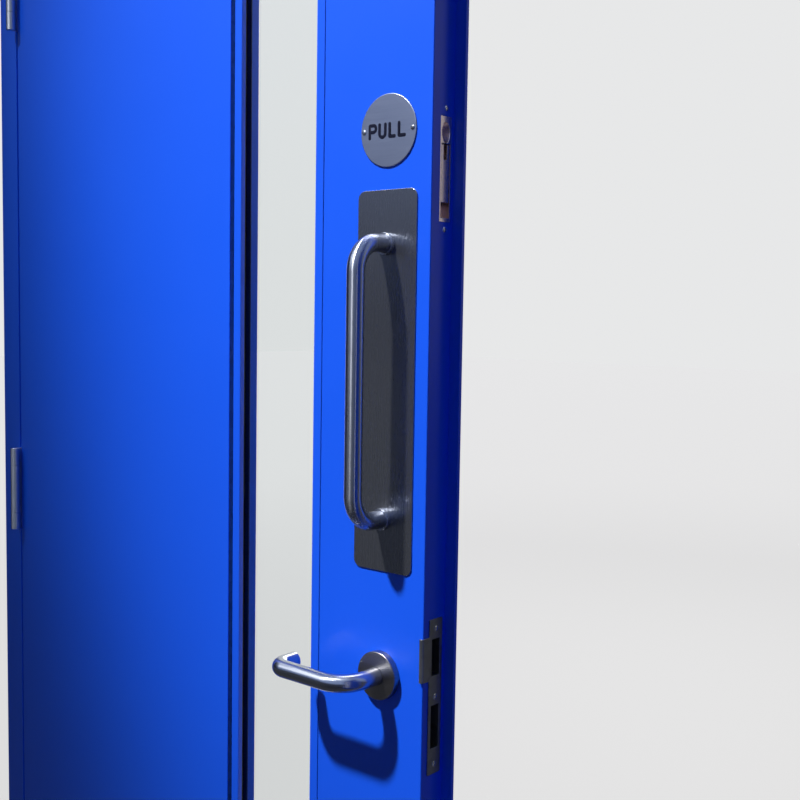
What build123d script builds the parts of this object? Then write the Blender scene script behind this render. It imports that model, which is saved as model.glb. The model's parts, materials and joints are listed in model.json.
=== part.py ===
from build123d import *
import os

# Double-leaf steel fire door with its frame, in millimetres.
# Pieces are drawn with the front (pull) face of the leaves at Y = 0 and the wall behind, at +Y.
# The finished set is moved so that the origin is the middle of the threshold's underside.
# The left leaf is bolted shut. The right leaf stands open, square to the frame.

# Frame
overall_width = 1600.0
overall_height = 2100.0
frame_depth = 110.0
frame_face = 40.0
frame_stop = 15.0
frame_sheet = 1.5
frame_lip = 20.0
threshold_height = 15.0
anchor_inset = 300.0
anchor_height = 50.0
anchor_sheet = 2.0
anchor_overlap = 12.0
anchor_hole = 11.0
seal_width = 10.0
seal_inset = 4.0
seal_clearance = 0.4

# Gaps round the leaves
leaf_gap = 3.0
meeting_gap = 3.0
floor_gap = 5.0
stop_gap = 3.0

# Leaf
leaf_thickness = 40.0
skin = 1.2
fold_radius = 1.5
flange_reach = 13.0
flange_thickness = 4.5
flange_front_gap = 1.0
flange_tip_gap = 3.0
hem = 12.0
open_angle = 90.0

# Vision panel
vision_stile = 149.0
cutout_width = 153.0
cutout_bottom = 350.0
cutout_top_rail = 207.0
bead_recess = 3.0
bead_gap = 4.0
bead_face = 12.0
bead_depth = 6.5
gasket = 1.5
gasket_width = 9.0
gasket_set_back = 0.5
glass_thickness = 14.0
glass_cover = 11.0

# Hinges
bottom_hinge_height = 240.0
middle_hinge_height = 1122.6
top_hinge_drop = 265.3
hinge_height = 118.0
end_knuckle = 24.5
knuckle_diameter = 13.0
knuckle_gap = 0.3
pin_diameter = 6.0
pin_clearance = 0.05
pin_offset = 8.5
hinge_plate = 1.4
hinge_plate_depth = 31.0
hinge_plate_relief = 0.5

# Lever handles
lever_height = 1000.0
backset = 57.0
tube_diameter = 19.0
tube_wall = 1.5
rose_diameter = 52.0
rose_thickness = 8.5
rose_edge = 1.2
rose_clearance = 0.05
lever_standoff = 58.0
lever_run = 102.0
lever_elbow = 28.0
lever_return_bend = 15.0
lever_return_gap = 28.0
lever_base_gap = 0.8
lever_plug = 24.0
lever_cap = 2.0
spindle_size = 8.0
spindle_clearance = 0.05
spindle_engagement = 18.0
spindle_hole = 22.0

# Pull handle, its plate and the round sign
pull_above_lever = 312.0
pull_plate_width = 80.0
pull_plate_height = 400.0
pull_plate_corner = 9.0
pull_plate_thickness = 1.5
pull_centres = 288.4
pull_standoff = 48.0
pull_bend = 30.0
ferrule_diameter = 23.0
ferrule_length = 5.0
ferrule_clearance = 0.05
sign_diameter = 75.0
sign_thickness = 1.5
sign_above_plate = 60.3
sign_screw_centres = 65.6
sign_screw_hole = 3.2

# Flush bolts in the edge of the left leaf
lower_bolt_below_lever = 454.0
upper_bolt_above_lever = 531.2
bolt_line = 22.5
case_width = 18.0
case_height = 106.0
case_depth = 24.0
case_tab_height = 137.0
case_tab_width = 15.0
case_tab_sheet = 2.0
case_screw_centres = 121.7
case_screw_hole = 4.2
case_recess_width = 14.0
case_recess_depth = 13.0
case_recess_top = 25.5
case_recess_bottom = -49.0
cup_width = 13.0
cup_height = 21.0
cup_centre = 36.6
cup_depth = 9.0
cup_slope = 2.9
bolt_lever_width = 13.0
bolt_lever_thickness = 4.0
bolt_lever_top = 24.5
bolt_lever_bottom = -33.5
bolt_lever_sink = 0.4
bolt_slot_width = 5.5
bolt_slot_height = 15.0
bolt_pivot = -28.0
bolt_pivot_depth = 5.5
bolt_pivot_diameter = 3.0
bolt_pivot_clearance = 0.05
bolt_boss_diameter = 6.0
rod_diameter = 8.0
rod_clearance = 0.05
rod_depth = 18.0
rod_start = 18.0
rod_set_back = 1.0
rod_channel = 12.0
rod_exit_hole = 9.0
keeper_length = 60.0
keeper_width = 24.0
keeper_sheet = 1.5
keeper_corner = 8.0
keeper_hole = 11.0
socket_diameter = 18.0
socket_flange = 26.0
socket_flange_sheet = 1.2

# Strike in the edge of the left leaf
strike_below_lever = 15.5
strike_length = 166.4
strike_width = 21.0
strike_line = 19.5
strike_sheet = 1.5
strike_screw_centres = 145.4
strike_screw_hole = 4.5
bolt_opening_width = 13.0
latch_above_lever = 26.8
latch_opening = 39.4
deadbolt_below_lever = 47.5
deadbolt_opening = 46.4
lip_length = 46.3
lip_below_latch = 0.8
lip_reach = 3.0
lip_bend = 2.3
lip_clearance = 1.3
box_wall = 1.5
box_depth = 24.0

# Mortise lock in the right leaf
forend_length = 235.0
forend_thickness = 3.0
case_body_width = 15.0
case_body_depth = 85.0
case_above = 62.0
case_below = 112.0
latch_body_height = 35.0
deadbolt_body_height = 41.0
bolt_thickness = 11.0
bolt_clearance = 0.3
latch_projection = 11.0
latch_tip = 2.5
latch_body_length = 38.0
deadbolt_length = 40.0
deadbolt_set_back = 0.2
cylinder_below_lever = 72.0
cylinder_diameter = 17.0
cylinder_web = 10.0
cylinder_total = 33.0
cylinder_projection = 9.5
cylinder_clearance = 0.3
key_slot_width = 2.0
key_slot_height = 8.0
key_slot_depth = 8.0
turn_stem = 10.0
turn_stem_length = 8.0
turn_width = 28.0
turn_thickness = 9.0
turn_length = 15.0
turn_clearance = 0.3

# Worked out from the sizes above
half_width = overall_width / 2
leaf_width = (overall_width - 2 * frame_face - 2 * leaf_gap - meeting_gap) / 2
leaf_bottom = threshold_height + floor_gap
leaf_top = overall_height - frame_face - leaf_gap
rebate = leaf_thickness + stop_gap
frame_inner = frame_face + frame_stop
pan_depth = leaf_thickness - flange_thickness
ledge_depth = pan_depth - flange_front_gap
ledge_width = flange_reach - meeting_gap + flange_tip_gap
cutout_height = leaf_top - cutout_top_rail - cutout_bottom
vision_centre = -(vision_stile + cutout_width / 2)
vision_middle = cutout_bottom + cutout_height / 2
sight_width = cutout_width - 2 * (bead_gap + bead_face)
sight_height = cutout_height - 2 * (bead_gap + bead_face)
glass_front = bead_recess + bead_depth + gasket
glass_back = glass_front + glass_thickness
back_bead_front = glass_back + gasket
back_bead_back = leaf_thickness - bead_recess
pin_x = half_width - frame_face - leaf_gap / 2
tube_radius = tube_diameter / 2
knuckle_radius = knuckle_diameter / 2
lever_end = -backset - lever_run
anchor_heights = (anchor_inset, overall_height / 2, overall_height - anchor_inset)
hinge_heights = (bottom_hinge_height, middle_hinge_height, overall_height - top_hinge_drop)
pull_centre_height = lever_height + pull_above_lever
sign_height = pull_centre_height + pull_plate_height / 2 + sign_above_plate
bolt_heights = (lever_height - lower_bolt_below_lever, lever_height + upper_bolt_above_lever)
strike_centre = lever_height - strike_below_lever
latch_height = lever_height + latch_above_lever
lip_height = latch_height - lip_below_latch
deadbolt_height = lever_height - deadbolt_below_lever
cylinder_height = lever_height - cylinder_below_lever


# Shapes used by several pieces

def block(xs, ys, zs):
    """A box between a low and a high limit on each axis."""
    size = [high - low for low, high in (xs, ys, zs)]
    middle = [(high + low) / 2 for low, high in (xs, ys, zs)]
    return Pos(*middle) * Box(*size)


def bar_y(diameter, ys, x, z):
    """A round bar along Y."""
    low, high = ys
    return Pos(x, (low + high) / 2, z) * Rot(90, 0, 0) * Cylinder(diameter / 2, high - low)


def bar_z(diameter, zs, x, y):
    """A round bar along Z."""
    low, high = zs
    return Pos(x, y, (low + high) / 2) * Cylinder(diameter / 2, high - low)


def bar_x(diameter, xs, y, z):
    """A round bar along X."""
    low, high = xs
    return Pos((low + high) / 2, y, z) * Rot(0, 90, 0) * Cylinder(diameter / 2, high - low)


def folded(points, thickness, plane, length):
    """A folded sheet: its outer line is made thick on its left, then drawn out along the plane's normal."""
    line = Polyline(*points)
    section = make_face(offset(line, amount=thickness, side=Side.LEFT, kind=Kind.INTERSECTION))
    return extrude(plane * section, amount=length)


def window(width, height, wall, ys):
    """A rectangular ring round the middle of the vision panel."""
    low, high = ys
    face = Rectangle(width, height) - Rectangle(width - 2 * wall, height - 2 * wall)
    plane = Plane(origin=(vision_centre, low, vision_middle), x_dir=(1, 0, 0), z_dir=(0, 1, 0))
    return extrude(plane * face, amount=high - low)


def bent_tube(corners, radii):
    """A round tube along straight runs with rounded corners."""
    path = FilletPolyline(*corners, radius=radii)
    start = Plane(origin=path @ 0, z_dir=path % 0)
    ring = Circle(tube_radius) - Circle(tube_radius - tube_wall)
    return sweep(start * ring, path=path)


# Frame, drawn in place

def frame_section():
    """Outer line of the folded frame: across the doorway, then through the wall."""
    return [
        (0, frame_lip),
        (0, 0),
        (frame_face, 0),
        (frame_face, rebate),
        (frame_inner, rebate),
        (frame_inner, frame_depth),
        (0, frame_depth),
        (0, frame_depth - frame_lip),
    ]


def mitre(points):
    """A triangle through the frame's depth, in the plane of the doorway."""
    plane = Plane(origin=(-half_width, frame_depth / 2, overall_height), x_dir=(1, 0, 0), z_dir=(0, -1, 0))
    corner = make_face(Polyline(*points, close=True))
    return extrude(plane * corner, amount=frame_depth, both=True)


def left_jamb():
    plane = Plane(origin=(-half_width, 0, 0))
    reach = 2 * frame_inner
    cut = mitre([(0, 0), (reach, -reach), (reach, 0)])
    return folded(frame_section(), frame_sheet, plane, overall_height) - cut


def frame_head():
    plane = Plane(origin=(-half_width, 0, overall_height), x_dir=(0, 0, -1), z_dir=(1, 0, 0))
    reach = 2 * frame_inner
    cut = mitre([(0, 0), (reach, -reach), (0, -reach)])
    under = overall_height - frame_face
    rod_hole = bar_z(keeper_hole, (under, under + frame_sheet), *rod_axis())
    head = folded(frame_section(), frame_sheet, plane, overall_width)
    return head - cut - mirror(cut, about=Plane.YZ) - rod_hole


def rod_axis():
    """Where the flush bolt rods stand, seen from above."""
    return -meeting_gap / 2 - rod_depth, bolt_line


def threshold():
    inner = half_width - frame_face
    plane = Plane(origin=(-inner, frame_depth / 2, threshold_height / 2), x_dir=(0, 1, 0), z_dir=(1, 0, 0))
    hollow = Rectangle(frame_depth - 2 * frame_sheet, threshold_height - 2 * frame_sheet)
    sill = extrude(plane * (Rectangle(frame_depth, threshold_height) - hollow), amount=2 * inner)
    corner = block((-inner, -inner + frame_stop), (rebate, frame_depth), (0, threshold_height))
    sill -= corner + mirror(corner, about=Plane.YZ)
    return sill - bar_z(socket_diameter, (frame_sheet, threshold_height), *rod_axis())


def frame_seal():
    """One strip up the left stop, across the head and down the right stop."""
    outer_u = frame_face + seal_inset
    inner_u = outer_u + seal_width
    rise = overall_height - threshold_height
    standing = (Align.CENTER, Align.MIN)
    face = Rectangle(overall_width - 2 * outer_u, rise - outer_u, align=standing)
    face -= Rectangle(overall_width - 2 * inner_u, rise - inner_u, align=standing)
    plane = Plane(origin=(0, rebate, threshold_height), x_dir=(1, 0, 0), z_dir=(0, -1, 0))
    return extrude(plane * face, amount=stop_gap - seal_clearance)


def wall_anchors():
    """Straps across the open backs of the jambs, each with a hole for a wall bolt."""
    low = frame_lip - anchor_overlap
    straps = []
    for height in anchor_heights:
        xs = (-half_width + frame_sheet, -half_width + frame_sheet + anchor_sheet)
        zs = (height - anchor_height / 2, height + anchor_height / 2)
        strap = block(xs, (low, frame_depth - low), zs)
        strap -= bar_x(anchor_hole, xs, frame_depth / 2, height)
        straps += [strap, mirror(strap, about=Plane.YZ)]
    return straps


def head_keeper():
    x, y = rod_axis()
    top = overall_height - frame_face
    plane = Plane(origin=(x - keeper_length / 2 + rod_depth, y, top - keeper_sheet))
    outline = RectangleRounded(keeper_length, keeper_width, keeper_corner)
    plate = extrude(plane * outline, amount=keeper_sheet)
    return plate - bar_z(keeper_hole, (top - keeper_sheet, top), x, y)


def floor_socket():
    x, y = rod_axis()
    bush = bar_z(socket_diameter, (frame_sheet, threshold_height), x, y)
    bush += bar_z(socket_flange, (threshold_height, threshold_height + socket_flange_sheet), x, y)
    return bush - bar_z(keeper_hole, (2 * frame_sheet, threshold_height + socket_flange_sheet), x, y)


# Hinges: the pin line is at X = 0, Y = 0, the plates run towards +Y and the leaf is on the +X side

def hinge_half(side, knuckles, bore):
    """One half of a hinge: its plate lies on the face that is half a gap from the pin line."""
    outer = side * leaf_gap / 2
    inner = outer - side * hinge_plate
    xs = (min(outer, inner), max(outer, inner))
    low = -hinge_height / 2
    high = hinge_height / 2
    half = block(xs, (knuckle_radius + hinge_plate_relief, pin_offset + hinge_plate_depth), (low, high))
    for zs in knuckles:
        half += block(xs, (0, knuckle_radius + 2 * hinge_plate_relief), zs)
        half += bar_z(knuckle_diameter, zs, 0, 0)
    return half - bar_z(bore, (low, high), 0, 0)


def hinge_frame_half():
    reach = hinge_height / 2 - end_knuckle - knuckle_gap / 2
    return hinge_half(-1, [(-reach, reach)], pin_diameter + 2 * pin_clearance)


def hinge_leaf_half():
    low = hinge_height / 2 - end_knuckle + knuckle_gap / 2
    high = hinge_height / 2
    return hinge_half(1, [(low, high), (-high, -low)], pin_diameter + 2 * pin_clearance)


def on_pin_lines(piece):
    """Copies of a hinge piece at each height on the left pin line."""
    return [Pos(-pin_x, -pin_offset, height) * piece for height in hinge_heights]


def hinge_frame_leaves():
    left = on_pin_lines(hinge_frame_half())
    return left + [mirror(piece, about=Plane.YZ) for piece in left]


def hinge_pins():
    left = on_pin_lines(Cylinder(pin_diameter / 2, hinge_height))
    return left + [mirror(piece, about=Plane.YZ) for piece in left]


# Leaf, drawn with its meeting edge at X = 0 and the hinges at -X

def leaf_hinge_halves():
    """The halves of the hinges on the leaf's own edge."""
    shift = pin_x - meeting_gap / 2
    return [Pos(-shift, -pin_offset, height) * hinge_leaf_half() for height in hinge_heights]


def vision_block(grow, ys):
    """The vision panel's cut-out, made larger all round."""
    xs = (vision_centre - cutout_width / 2 - grow, vision_centre + cutout_width / 2 + grow)
    zs = (cutout_bottom - grow, cutout_bottom + cutout_height + grow)
    return block(xs, ys, zs)


def lever_hole():
    return bar_y(spindle_hole, (0, leaf_thickness), -backset, lever_height)


def cylinder_shape(grow, ys):
    """The lock cylinder's outline drawn through the leaf: a round top on a narrow web."""
    low, high = ys
    web = cylinder_total - cylinder_diameter / 2 + cylinder_web / 2
    outline = Circle(cylinder_diameter / 2 + grow)
    middle = (cylinder_web - web) / 2
    outline += Pos(0, middle) * SlotOverall(web + 2 * grow, cylinder_web + 2 * grow, rotation=90)
    plane = Plane(origin=(-backset, low, cylinder_height), x_dir=(-1, 0, 0), z_dir=(0, 1, 0))
    return extrude(plane * outline, amount=high - low)


def edge_block(xs, width, line, zs):
    """A block centred on a line down the leaf's edge."""
    return block(xs, (line - width / 2, line + width / 2), zs)


def case_block(grow, middle):
    """The room of a flush bolt case in the leaf's edge."""
    zs = (middle - case_height / 2 - grow, middle + case_height / 2 + grow)
    return edge_block((-case_depth - grow, 0), case_width + 2 * grow, bolt_line, zs)


def bolt_tabs(middle):
    """The strip behind the leaf's edge that a flush bolt case is screwed through."""
    half = case_tab_height / 2
    zs = (middle - half, middle + half)
    return edge_block((-skin - case_tab_sheet, -skin), case_tab_width, bolt_line, zs)


def strike_box_block(grow):
    """The room of the box behind the strike plate."""
    low = deadbolt_height - deadbolt_opening / 2 - box_wall - grow
    high = latch_height + latch_opening / 2 + box_wall + grow
    width = bolt_opening_width + 2 * box_wall + 2 * grow
    return edge_block((-box_depth - grow, 0), width, strike_line, (low, high))


def rod_span(middle):
    """The height of a flush bolt rod: from inside its case to just inside the nearer end of the leaf."""
    if middle > overall_height / 2:
        return middle + rod_start, leaf_top - rod_set_back
    return leaf_bottom + rod_set_back, middle - rod_start


def lock_case_block(grow):
    zs = (lever_height - case_below - grow, lever_height + case_above + grow)
    xs = (-forend_thickness - case_body_depth - grow, 0)
    return edge_block(xs, case_body_width + 2 * grow, strike_line, zs)


def forend_block(grow, depth):
    half = forend_length / 2 + grow
    zs = (strike_centre - half, strike_centre + half)
    return edge_block((-depth, 0), strike_width + 2 * grow, strike_line, zs)


def left_pockets():
    """Everything that is let into the left leaf."""
    pockets = lever_hole() + strike_box_block(0)
    for middle in bolt_heights:
        low, high = rod_span(middle)
        channel = (max(low, leaf_bottom + skin), min(high, leaf_top - skin))
        pockets += case_block(0, middle) + bolt_tabs(middle)
        pockets += bar_z(rod_channel, channel, -rod_depth, bolt_line)
    return pockets


def right_pockets():
    """Everything that is let into the right leaf."""
    pockets = lever_hole() + lock_case_block(0) + forend_block(0, forend_thickness)
    return pockets + cylinder_shape(cylinder_clearance, (0, leaf_thickness))


def front_pan(depth, cuts):
    """The front skin: one sheet folded back along all four edges."""
    pan = block((-leaf_width, 0), (0, depth), (leaf_bottom, leaf_top))
    pan = fillet(pan.edges().group_by(Axis.Y)[0], fold_radius)
    pan = offset(pan, amount=-skin, openings=pan.faces().sort_by(Axis.Y)[-1])
    return pan - vision_block(0, (-1, skin + 1)) - cuts


def left_edge_cuts():
    """Cut-outs in the left leaf's front skin."""
    cuts = lever_hole() + strike_box_block(0)
    for middle in bolt_heights:
        cuts += case_block(0, middle)
        for side in (-1, 1):
            height = middle + side * case_screw_centres / 2
            cuts += bar_x(case_screw_hole, (-skin - 1, 1), bolt_line, height)
    for zs in ((leaf_bottom - 1, leaf_bottom + skin + 1), (leaf_top - skin - 1, leaf_top + 1)):
        cuts += bar_z(rod_exit_hole, zs, -rod_depth, bolt_line)
    return cuts


def left_front_skin():
    return front_pan(pan_depth, left_edge_cuts())


def left_back_skin():
    """The back skin with the folded flange that covers the meeting gap."""
    outer = block((-leaf_width, flange_reach), (pan_depth, leaf_thickness), (leaf_bottom, leaf_top))
    zs = (leaf_bottom + skin, leaf_top - skin)
    hollow = block((-leaf_width + skin, flange_reach - skin), (pan_depth + skin, leaf_thickness - skin), zs)
    mouth = block((-leaf_width + skin, -hem), (pan_depth, pan_depth + skin), zs)
    return outer - hollow - mouth - vision_block(0, (pan_depth, leaf_thickness)) - lever_hole()


def right_front_skin():
    """The front skin, with a ledge behind its edge that clears the other leaf's flange."""
    pan = front_pan(ledge_depth, right_pockets())
    xs = (-ledge_width - skin, -skin)
    ledge = block(xs, (ledge_depth - skin, ledge_depth), (leaf_bottom + skin, leaf_top - skin))
    return pan + ledge


def right_back_skin():
    outer = block((-leaf_width, -ledge_width), (ledge_depth, leaf_thickness), (leaf_bottom, leaf_top))
    zs = (leaf_bottom + skin, leaf_top - skin)
    hollow = block((-leaf_width + skin, -ledge_width - skin), (ledge_depth, leaf_thickness - skin), zs)
    return outer - hollow - vision_block(0, (ledge_depth, leaf_thickness)) - lever_hole() - right_pockets()


def core(depth, inner_edge, pockets):
    """The mineral board that fills a leaf: up to the front skin's depth, then on to the back skin."""
    zs = (leaf_bottom + skin, leaf_top - skin)
    board = block((-leaf_width + skin, -skin), (skin, depth), zs)
    board = fillet(board.edges().group_by(Axis.Y)[0], fold_radius - skin)
    board += block((-leaf_width + skin, inner_edge), (depth, leaf_thickness - skin), zs)
    return board - vision_block(skin, (0, leaf_thickness)) - pockets


def left_core():
    return core(pan_depth, -hem, left_pockets())


def right_core():
    return core(ledge_depth - skin, -ledge_width - skin, right_pockets())


def vision_lining():
    """A folded channel that closes the edge of the cut-out between the two skins."""
    width = cutout_width + 2 * skin
    return window(width, cutout_height + 2 * skin, skin, (skin, leaf_thickness - skin))


def bead(front):
    """A glazing bead: a face, a lip in to the glass and a foot out to the lining."""
    back = front + bead_depth
    width = cutout_width - 2 * bead_gap
    height = cutout_height - 2 * bead_gap
    frame = window(width, height, bead_face, (front, front + skin))
    frame += window(width, height, skin, (front, back))
    frame += window(sight_width + 2 * skin, sight_height + 2 * skin, skin, (front, back))
    return frame + window(cutout_width, cutout_height, bead_gap + skin, (back - skin, back))


def front_bead():
    return bead(bead_recess)


def back_bead():
    """The front bead turned round: deeper, to reach the glass from behind."""
    frame = mirror(front_bead(), about=Plane.XZ.offset(-leaf_thickness / 2))
    lip = window(sight_width + 2 * skin, sight_height + 2 * skin, skin, (back_bead_front, back_bead_back))
    return frame + lip


def glazing_gaskets():
    grow = 2 * (gasket_width + gasket_set_back)
    width = sight_width + grow
    height = sight_height + grow
    front = window(width, height, gasket_width, (glass_front - gasket, glass_front))
    return [front, window(width, height, gasket_width, (glass_back, back_bead_front))]


def glass():
    xs = (vision_centre - sight_width / 2 - glass_cover, vision_centre + sight_width / 2 + glass_cover)
    zs = (vision_middle - sight_height / 2 - glass_cover, vision_middle + sight_height / 2 + glass_cover)
    return block(xs, (glass_front, glass_back), zs)


# Lever handles

def to_back(piece):
    """The same piece on the back face of the leaf."""
    return mirror(piece, about=Plane.XZ.offset(-leaf_thickness / 2))


def rose():
    disc = bar_y(rose_diameter, (-rose_thickness, 0), -backset, lever_height)
    disc = fillet(disc.edges().sort_by(Axis.Y)[0], rose_edge)
    return disc - bar_y(tube_diameter + 2 * rose_clearance, (-rose_thickness, 0), -backset, lever_height)


def roses():
    return [rose(), to_back(rose())]


def lever():
    """A bent tube, capped where it turns back to the door, with a plug for the spindle at its root."""
    corners = [
        (-backset, -lever_base_gap, lever_height),
        (-backset, -lever_standoff, lever_height),
        (lever_end, -lever_standoff, lever_height),
        (lever_end, -lever_return_gap, lever_height),
    ]
    tube = bent_tube(corners, [lever_elbow, lever_return_bend])
    bore = tube_diameter - 2 * tube_wall
    tube += bar_y(bore, (-lever_plug, -lever_base_gap), -backset, lever_height)
    tube += bar_y(bore, (-lever_return_gap - lever_cap, -lever_return_gap), lever_end, lever_height)
    return tube - spindle_bar(spindle_size + 2 * spindle_clearance, (-spindle_engagement - 1, 0))


def spindle_bar(size, ys):
    half = size / 2
    return block((-backset - half, -backset + half), ys, (lever_height - half, lever_height + half))


def spindle():
    return spindle_bar(spindle_size, (-spindle_engagement, leaf_thickness + spindle_engagement))


# Pull handle, plate and sign

def face_plane(x, y, z):
    """A plane that looks out of the leaf's front face."""
    return Plane(origin=(x, y, z), x_dir=(1, 0, 0), z_dir=(0, -1, 0))


def pull_plate():
    shape = RectangleRounded(pull_plate_width, pull_plate_height, pull_plate_corner)
    return extrude(face_plane(-backset, 0, pull_centre_height) * shape, amount=pull_plate_thickness)


def pull_handle():
    low = pull_centre_height - pull_centres / 2
    high = pull_centre_height + pull_centres / 2
    corners = [
        (-backset, -pull_plate_thickness, low),
        (-backset, -pull_standoff, low),
        (-backset, -pull_standoff, high),
        (-backset, -pull_plate_thickness, high),
    ]
    return bent_tube(corners, [pull_bend, pull_bend])


def pull_ferrules():
    rings = []
    for side in (-1, 1):
        plane = face_plane(-backset, -pull_plate_thickness, pull_centre_height + side * pull_centres / 2)
        ring = Circle(ferrule_diameter / 2) - Circle(tube_radius + ferrule_clearance)
        rings.append(extrude(plane * ring, amount=ferrule_length))
    return rings


def sign():
    shape = Circle(sign_diameter / 2)
    for side in (-1, 1):
        shape -= Pos(side * sign_screw_centres / 2, 0) * Circle(sign_screw_hole / 2)
    return extrude(face_plane(-backset, 0, sign_height) * shape, amount=sign_thickness)


# Flush bolts, drawn for the upper one round Z = 0 at its case's middle

def cup_outline(depth, inset):
    """The finger cup's outline at a depth in the case, made smaller all round."""
    plane = Plane(origin=(-depth, bolt_line, cup_centre), x_dir=(0, 1, 0), z_dir=(-1, 0, 0))
    return (plane * Ellipse(cup_width / 2 - inset, cup_height / 2 - inset)).face()


def flush_case():
    """The case with its finger cup, the room for its lever and pivot pin, and a screw tab at each end."""
    case = case_block(0, 0) + bolt_tabs(0)
    for side in (-1, 1):
        height = side * case_screw_centres / 2
        case -= bar_x(case_screw_hole, (-skin - case_tab_sheet, 0), bolt_line, height)
    recess = (case_recess_bottom, case_recess_top)
    case -= edge_block((-case_recess_depth, 0), case_recess_width, bolt_line, recess)
    half = case_recess_width / 2
    case += bar_y(bolt_pivot_diameter, (bolt_line - half, bolt_line + half), -bolt_pivot_depth, bolt_pivot)
    case -= loft([cup_outline(0, 0), cup_outline(cup_depth, cup_slope)])
    bore = rod_diameter + 2 * rod_clearance
    return case - bar_z(bore, (rod_start, case_height / 2), -rod_depth, bolt_line)


def flush_lever():
    """A flat lever, slotted at its finger end, that turns on the pin across the case."""
    xs = (-bolt_lever_thickness - bolt_lever_sink, -bolt_lever_sink)
    arm = edge_block(xs, bolt_lever_width, bolt_line, (bolt_lever_bottom, bolt_lever_top))
    slot = (bolt_lever_top - bolt_slot_height, bolt_lever_top)
    arm -= edge_block(xs, bolt_slot_width, bolt_line, slot)
    boss = (bolt_line - bolt_lever_width / 2, bolt_line + bolt_lever_width / 2)
    arm += bar_y(bolt_boss_diameter, boss, -bolt_pivot_depth, bolt_pivot)
    return arm - bar_y(bolt_pivot_diameter + 2 * bolt_pivot_clearance, boss, -bolt_pivot_depth, bolt_pivot)


def flush_rod(length):
    return bar_z(rod_diameter, (rod_start, rod_start + length), -rod_depth, bolt_line)


def at_bolt(index, piece):
    """A flush bolt piece in the leaf: the lower bolt is the upper one turned upside down."""
    middle = bolt_heights[index]
    if middle < overall_height / 2:
        piece = mirror(piece, about=Plane.XY)
    return Pos(0, 0, middle) * piece


def rod_length(index):
    low, high = rod_span(bolt_heights[index])
    return high - low


# Strike

def strike_plate():
    """A plate with openings for the latch and the deadbolt, and a lip bent round the front corner."""
    plane = Plane(origin=(0, strike_line, strike_centre), x_dir=(0, 1, 0), z_dir=(1, 0, 0))
    shape = RectangleRounded(strike_width, strike_length, strike_sheet)
    for height, opening in ((latch_height, latch_opening), (deadbolt_height, deadbolt_opening)):
        shape -= Pos(0, height - strike_centre) * Rectangle(bolt_opening_width, opening)
    for step in (-1, 0, 1):
        shape -= Pos(0, step * strike_screw_centres / 2) * Circle(strike_screw_hole / 2)
    plate = extrude(plane * shape, amount=strike_sheet)
    middle = strike_sheet / 2
    front = strike_line - bolt_opening_width / 2
    corner = -lip_clearance - middle
    path = FilletPolyline((middle, front), (middle, corner), (-lip_reach, corner), radius=[lip_bend])
    strip = Pos(0, 0, lip_height - lip_length / 2) * trace(path, line_width=strike_sheet)
    zs = (latch_height - latch_opening / 2, latch_height + latch_opening / 2)
    opening = edge_block((0, strike_sheet), bolt_opening_width, strike_line, zs)
    return plate + extrude(strip, amount=lip_length) - opening


def strike_box():
    box = strike_box_block(0)
    for height, opening in ((latch_height, latch_opening), (deadbolt_height, deadbolt_opening)):
        zs = (height - opening / 2, height + opening / 2)
        box -= edge_block((-box_depth + box_wall, 0), bolt_opening_width, strike_line, zs)
    return box


# Mortise lock

def bolt_shape(grow, xs, height, size):
    zs = (height - size / 2 - grow, height + size / 2 + grow)
    return edge_block(xs, bolt_thickness + 2 * grow, strike_line, zs)


def latch_bolt():
    """A latch with a slope on its back side, so that it rides over the strike's lip."""
    low = strike_line - bolt_thickness / 2
    high = strike_line + bolt_thickness / 2
    points = [
        (latch_projection - latch_body_length, low),
        (latch_projection, low),
        (latch_projection, low + latch_tip),
        (0, high),
        (latch_projection - latch_body_length, high),
    ]
    section = make_face(Polyline(*points, close=True))
    return extrude(Pos(0, 0, latch_height - latch_body_height / 2) * section, amount=latch_body_height)


def deadbolt():
    xs = (-deadbolt_length - deadbolt_set_back, -deadbolt_set_back)
    return bolt_shape(0, xs, deadbolt_height, deadbolt_body_height)


def bolt_tunnels(depth):
    """The ways of the latch and the deadbolt into the lock, each with room to draw right back."""
    latch = bolt_shape(bolt_clearance, (-depth, 0), latch_height, latch_body_height)
    return latch + bolt_shape(bolt_clearance, (-depth, 0), deadbolt_height, deadbolt_body_height)


def lock_case():
    case = lock_case_block(0) - block((-forend_thickness, 0), (0, leaf_thickness), (0, overall_height))
    case -= bolt_tunnels(case_body_depth / 2 + forend_thickness)
    case -= cylinder_shape(cylinder_clearance, (0, leaf_thickness))
    return case - bar_y(spindle_size * 2, (0, leaf_thickness), -backset, lever_height)


def forend():
    return forend_block(0, forend_thickness) - bolt_tunnels(forend_thickness)


def lock_cylinder():
    ys = (-cylinder_projection, leaf_thickness + cylinder_projection)
    body = cylinder_shape(0, ys)
    xs = (-backset - key_slot_width / 2, -backset + key_slot_width / 2)
    zs = (cylinder_height - key_slot_height / 2, cylinder_height + key_slot_height / 2)
    return body - block(xs, (ys[0], ys[0] + key_slot_depth), zs)


def escutcheon():
    """A round rose centred on the lock cylinder's outline."""
    centre = cylinder_height - (cylinder_total - cylinder_diameter) / 2
    disc = bar_y(rose_diameter, (-rose_thickness, 0), -backset, centre)
    disc = fillet(disc.edges().sort_by(Axis.Y)[0], rose_edge)
    return disc - cylinder_shape(cylinder_clearance, (-rose_thickness, 0))


def escutcheons():
    return [escutcheon(), to_back(escutcheon())]


def thumb_turn():
    """A turn with a round stem and a flat grip, behind the lock cylinder."""
    foot = leaf_thickness + cylinder_projection + turn_clearance
    stem = bar_y(turn_stem, (foot, foot + turn_stem_length), -backset, cylinder_height)
    start = foot + turn_stem_length
    plane = Plane(origin=(-backset, start, cylinder_height), x_dir=(1, 0, 0), z_dir=(0, 1, 0))
    return stem + extrude(plane * SlotOverall(turn_width, turn_thickness, rotation=90), amount=turn_length)


# Placing the leaves in the frame

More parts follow.
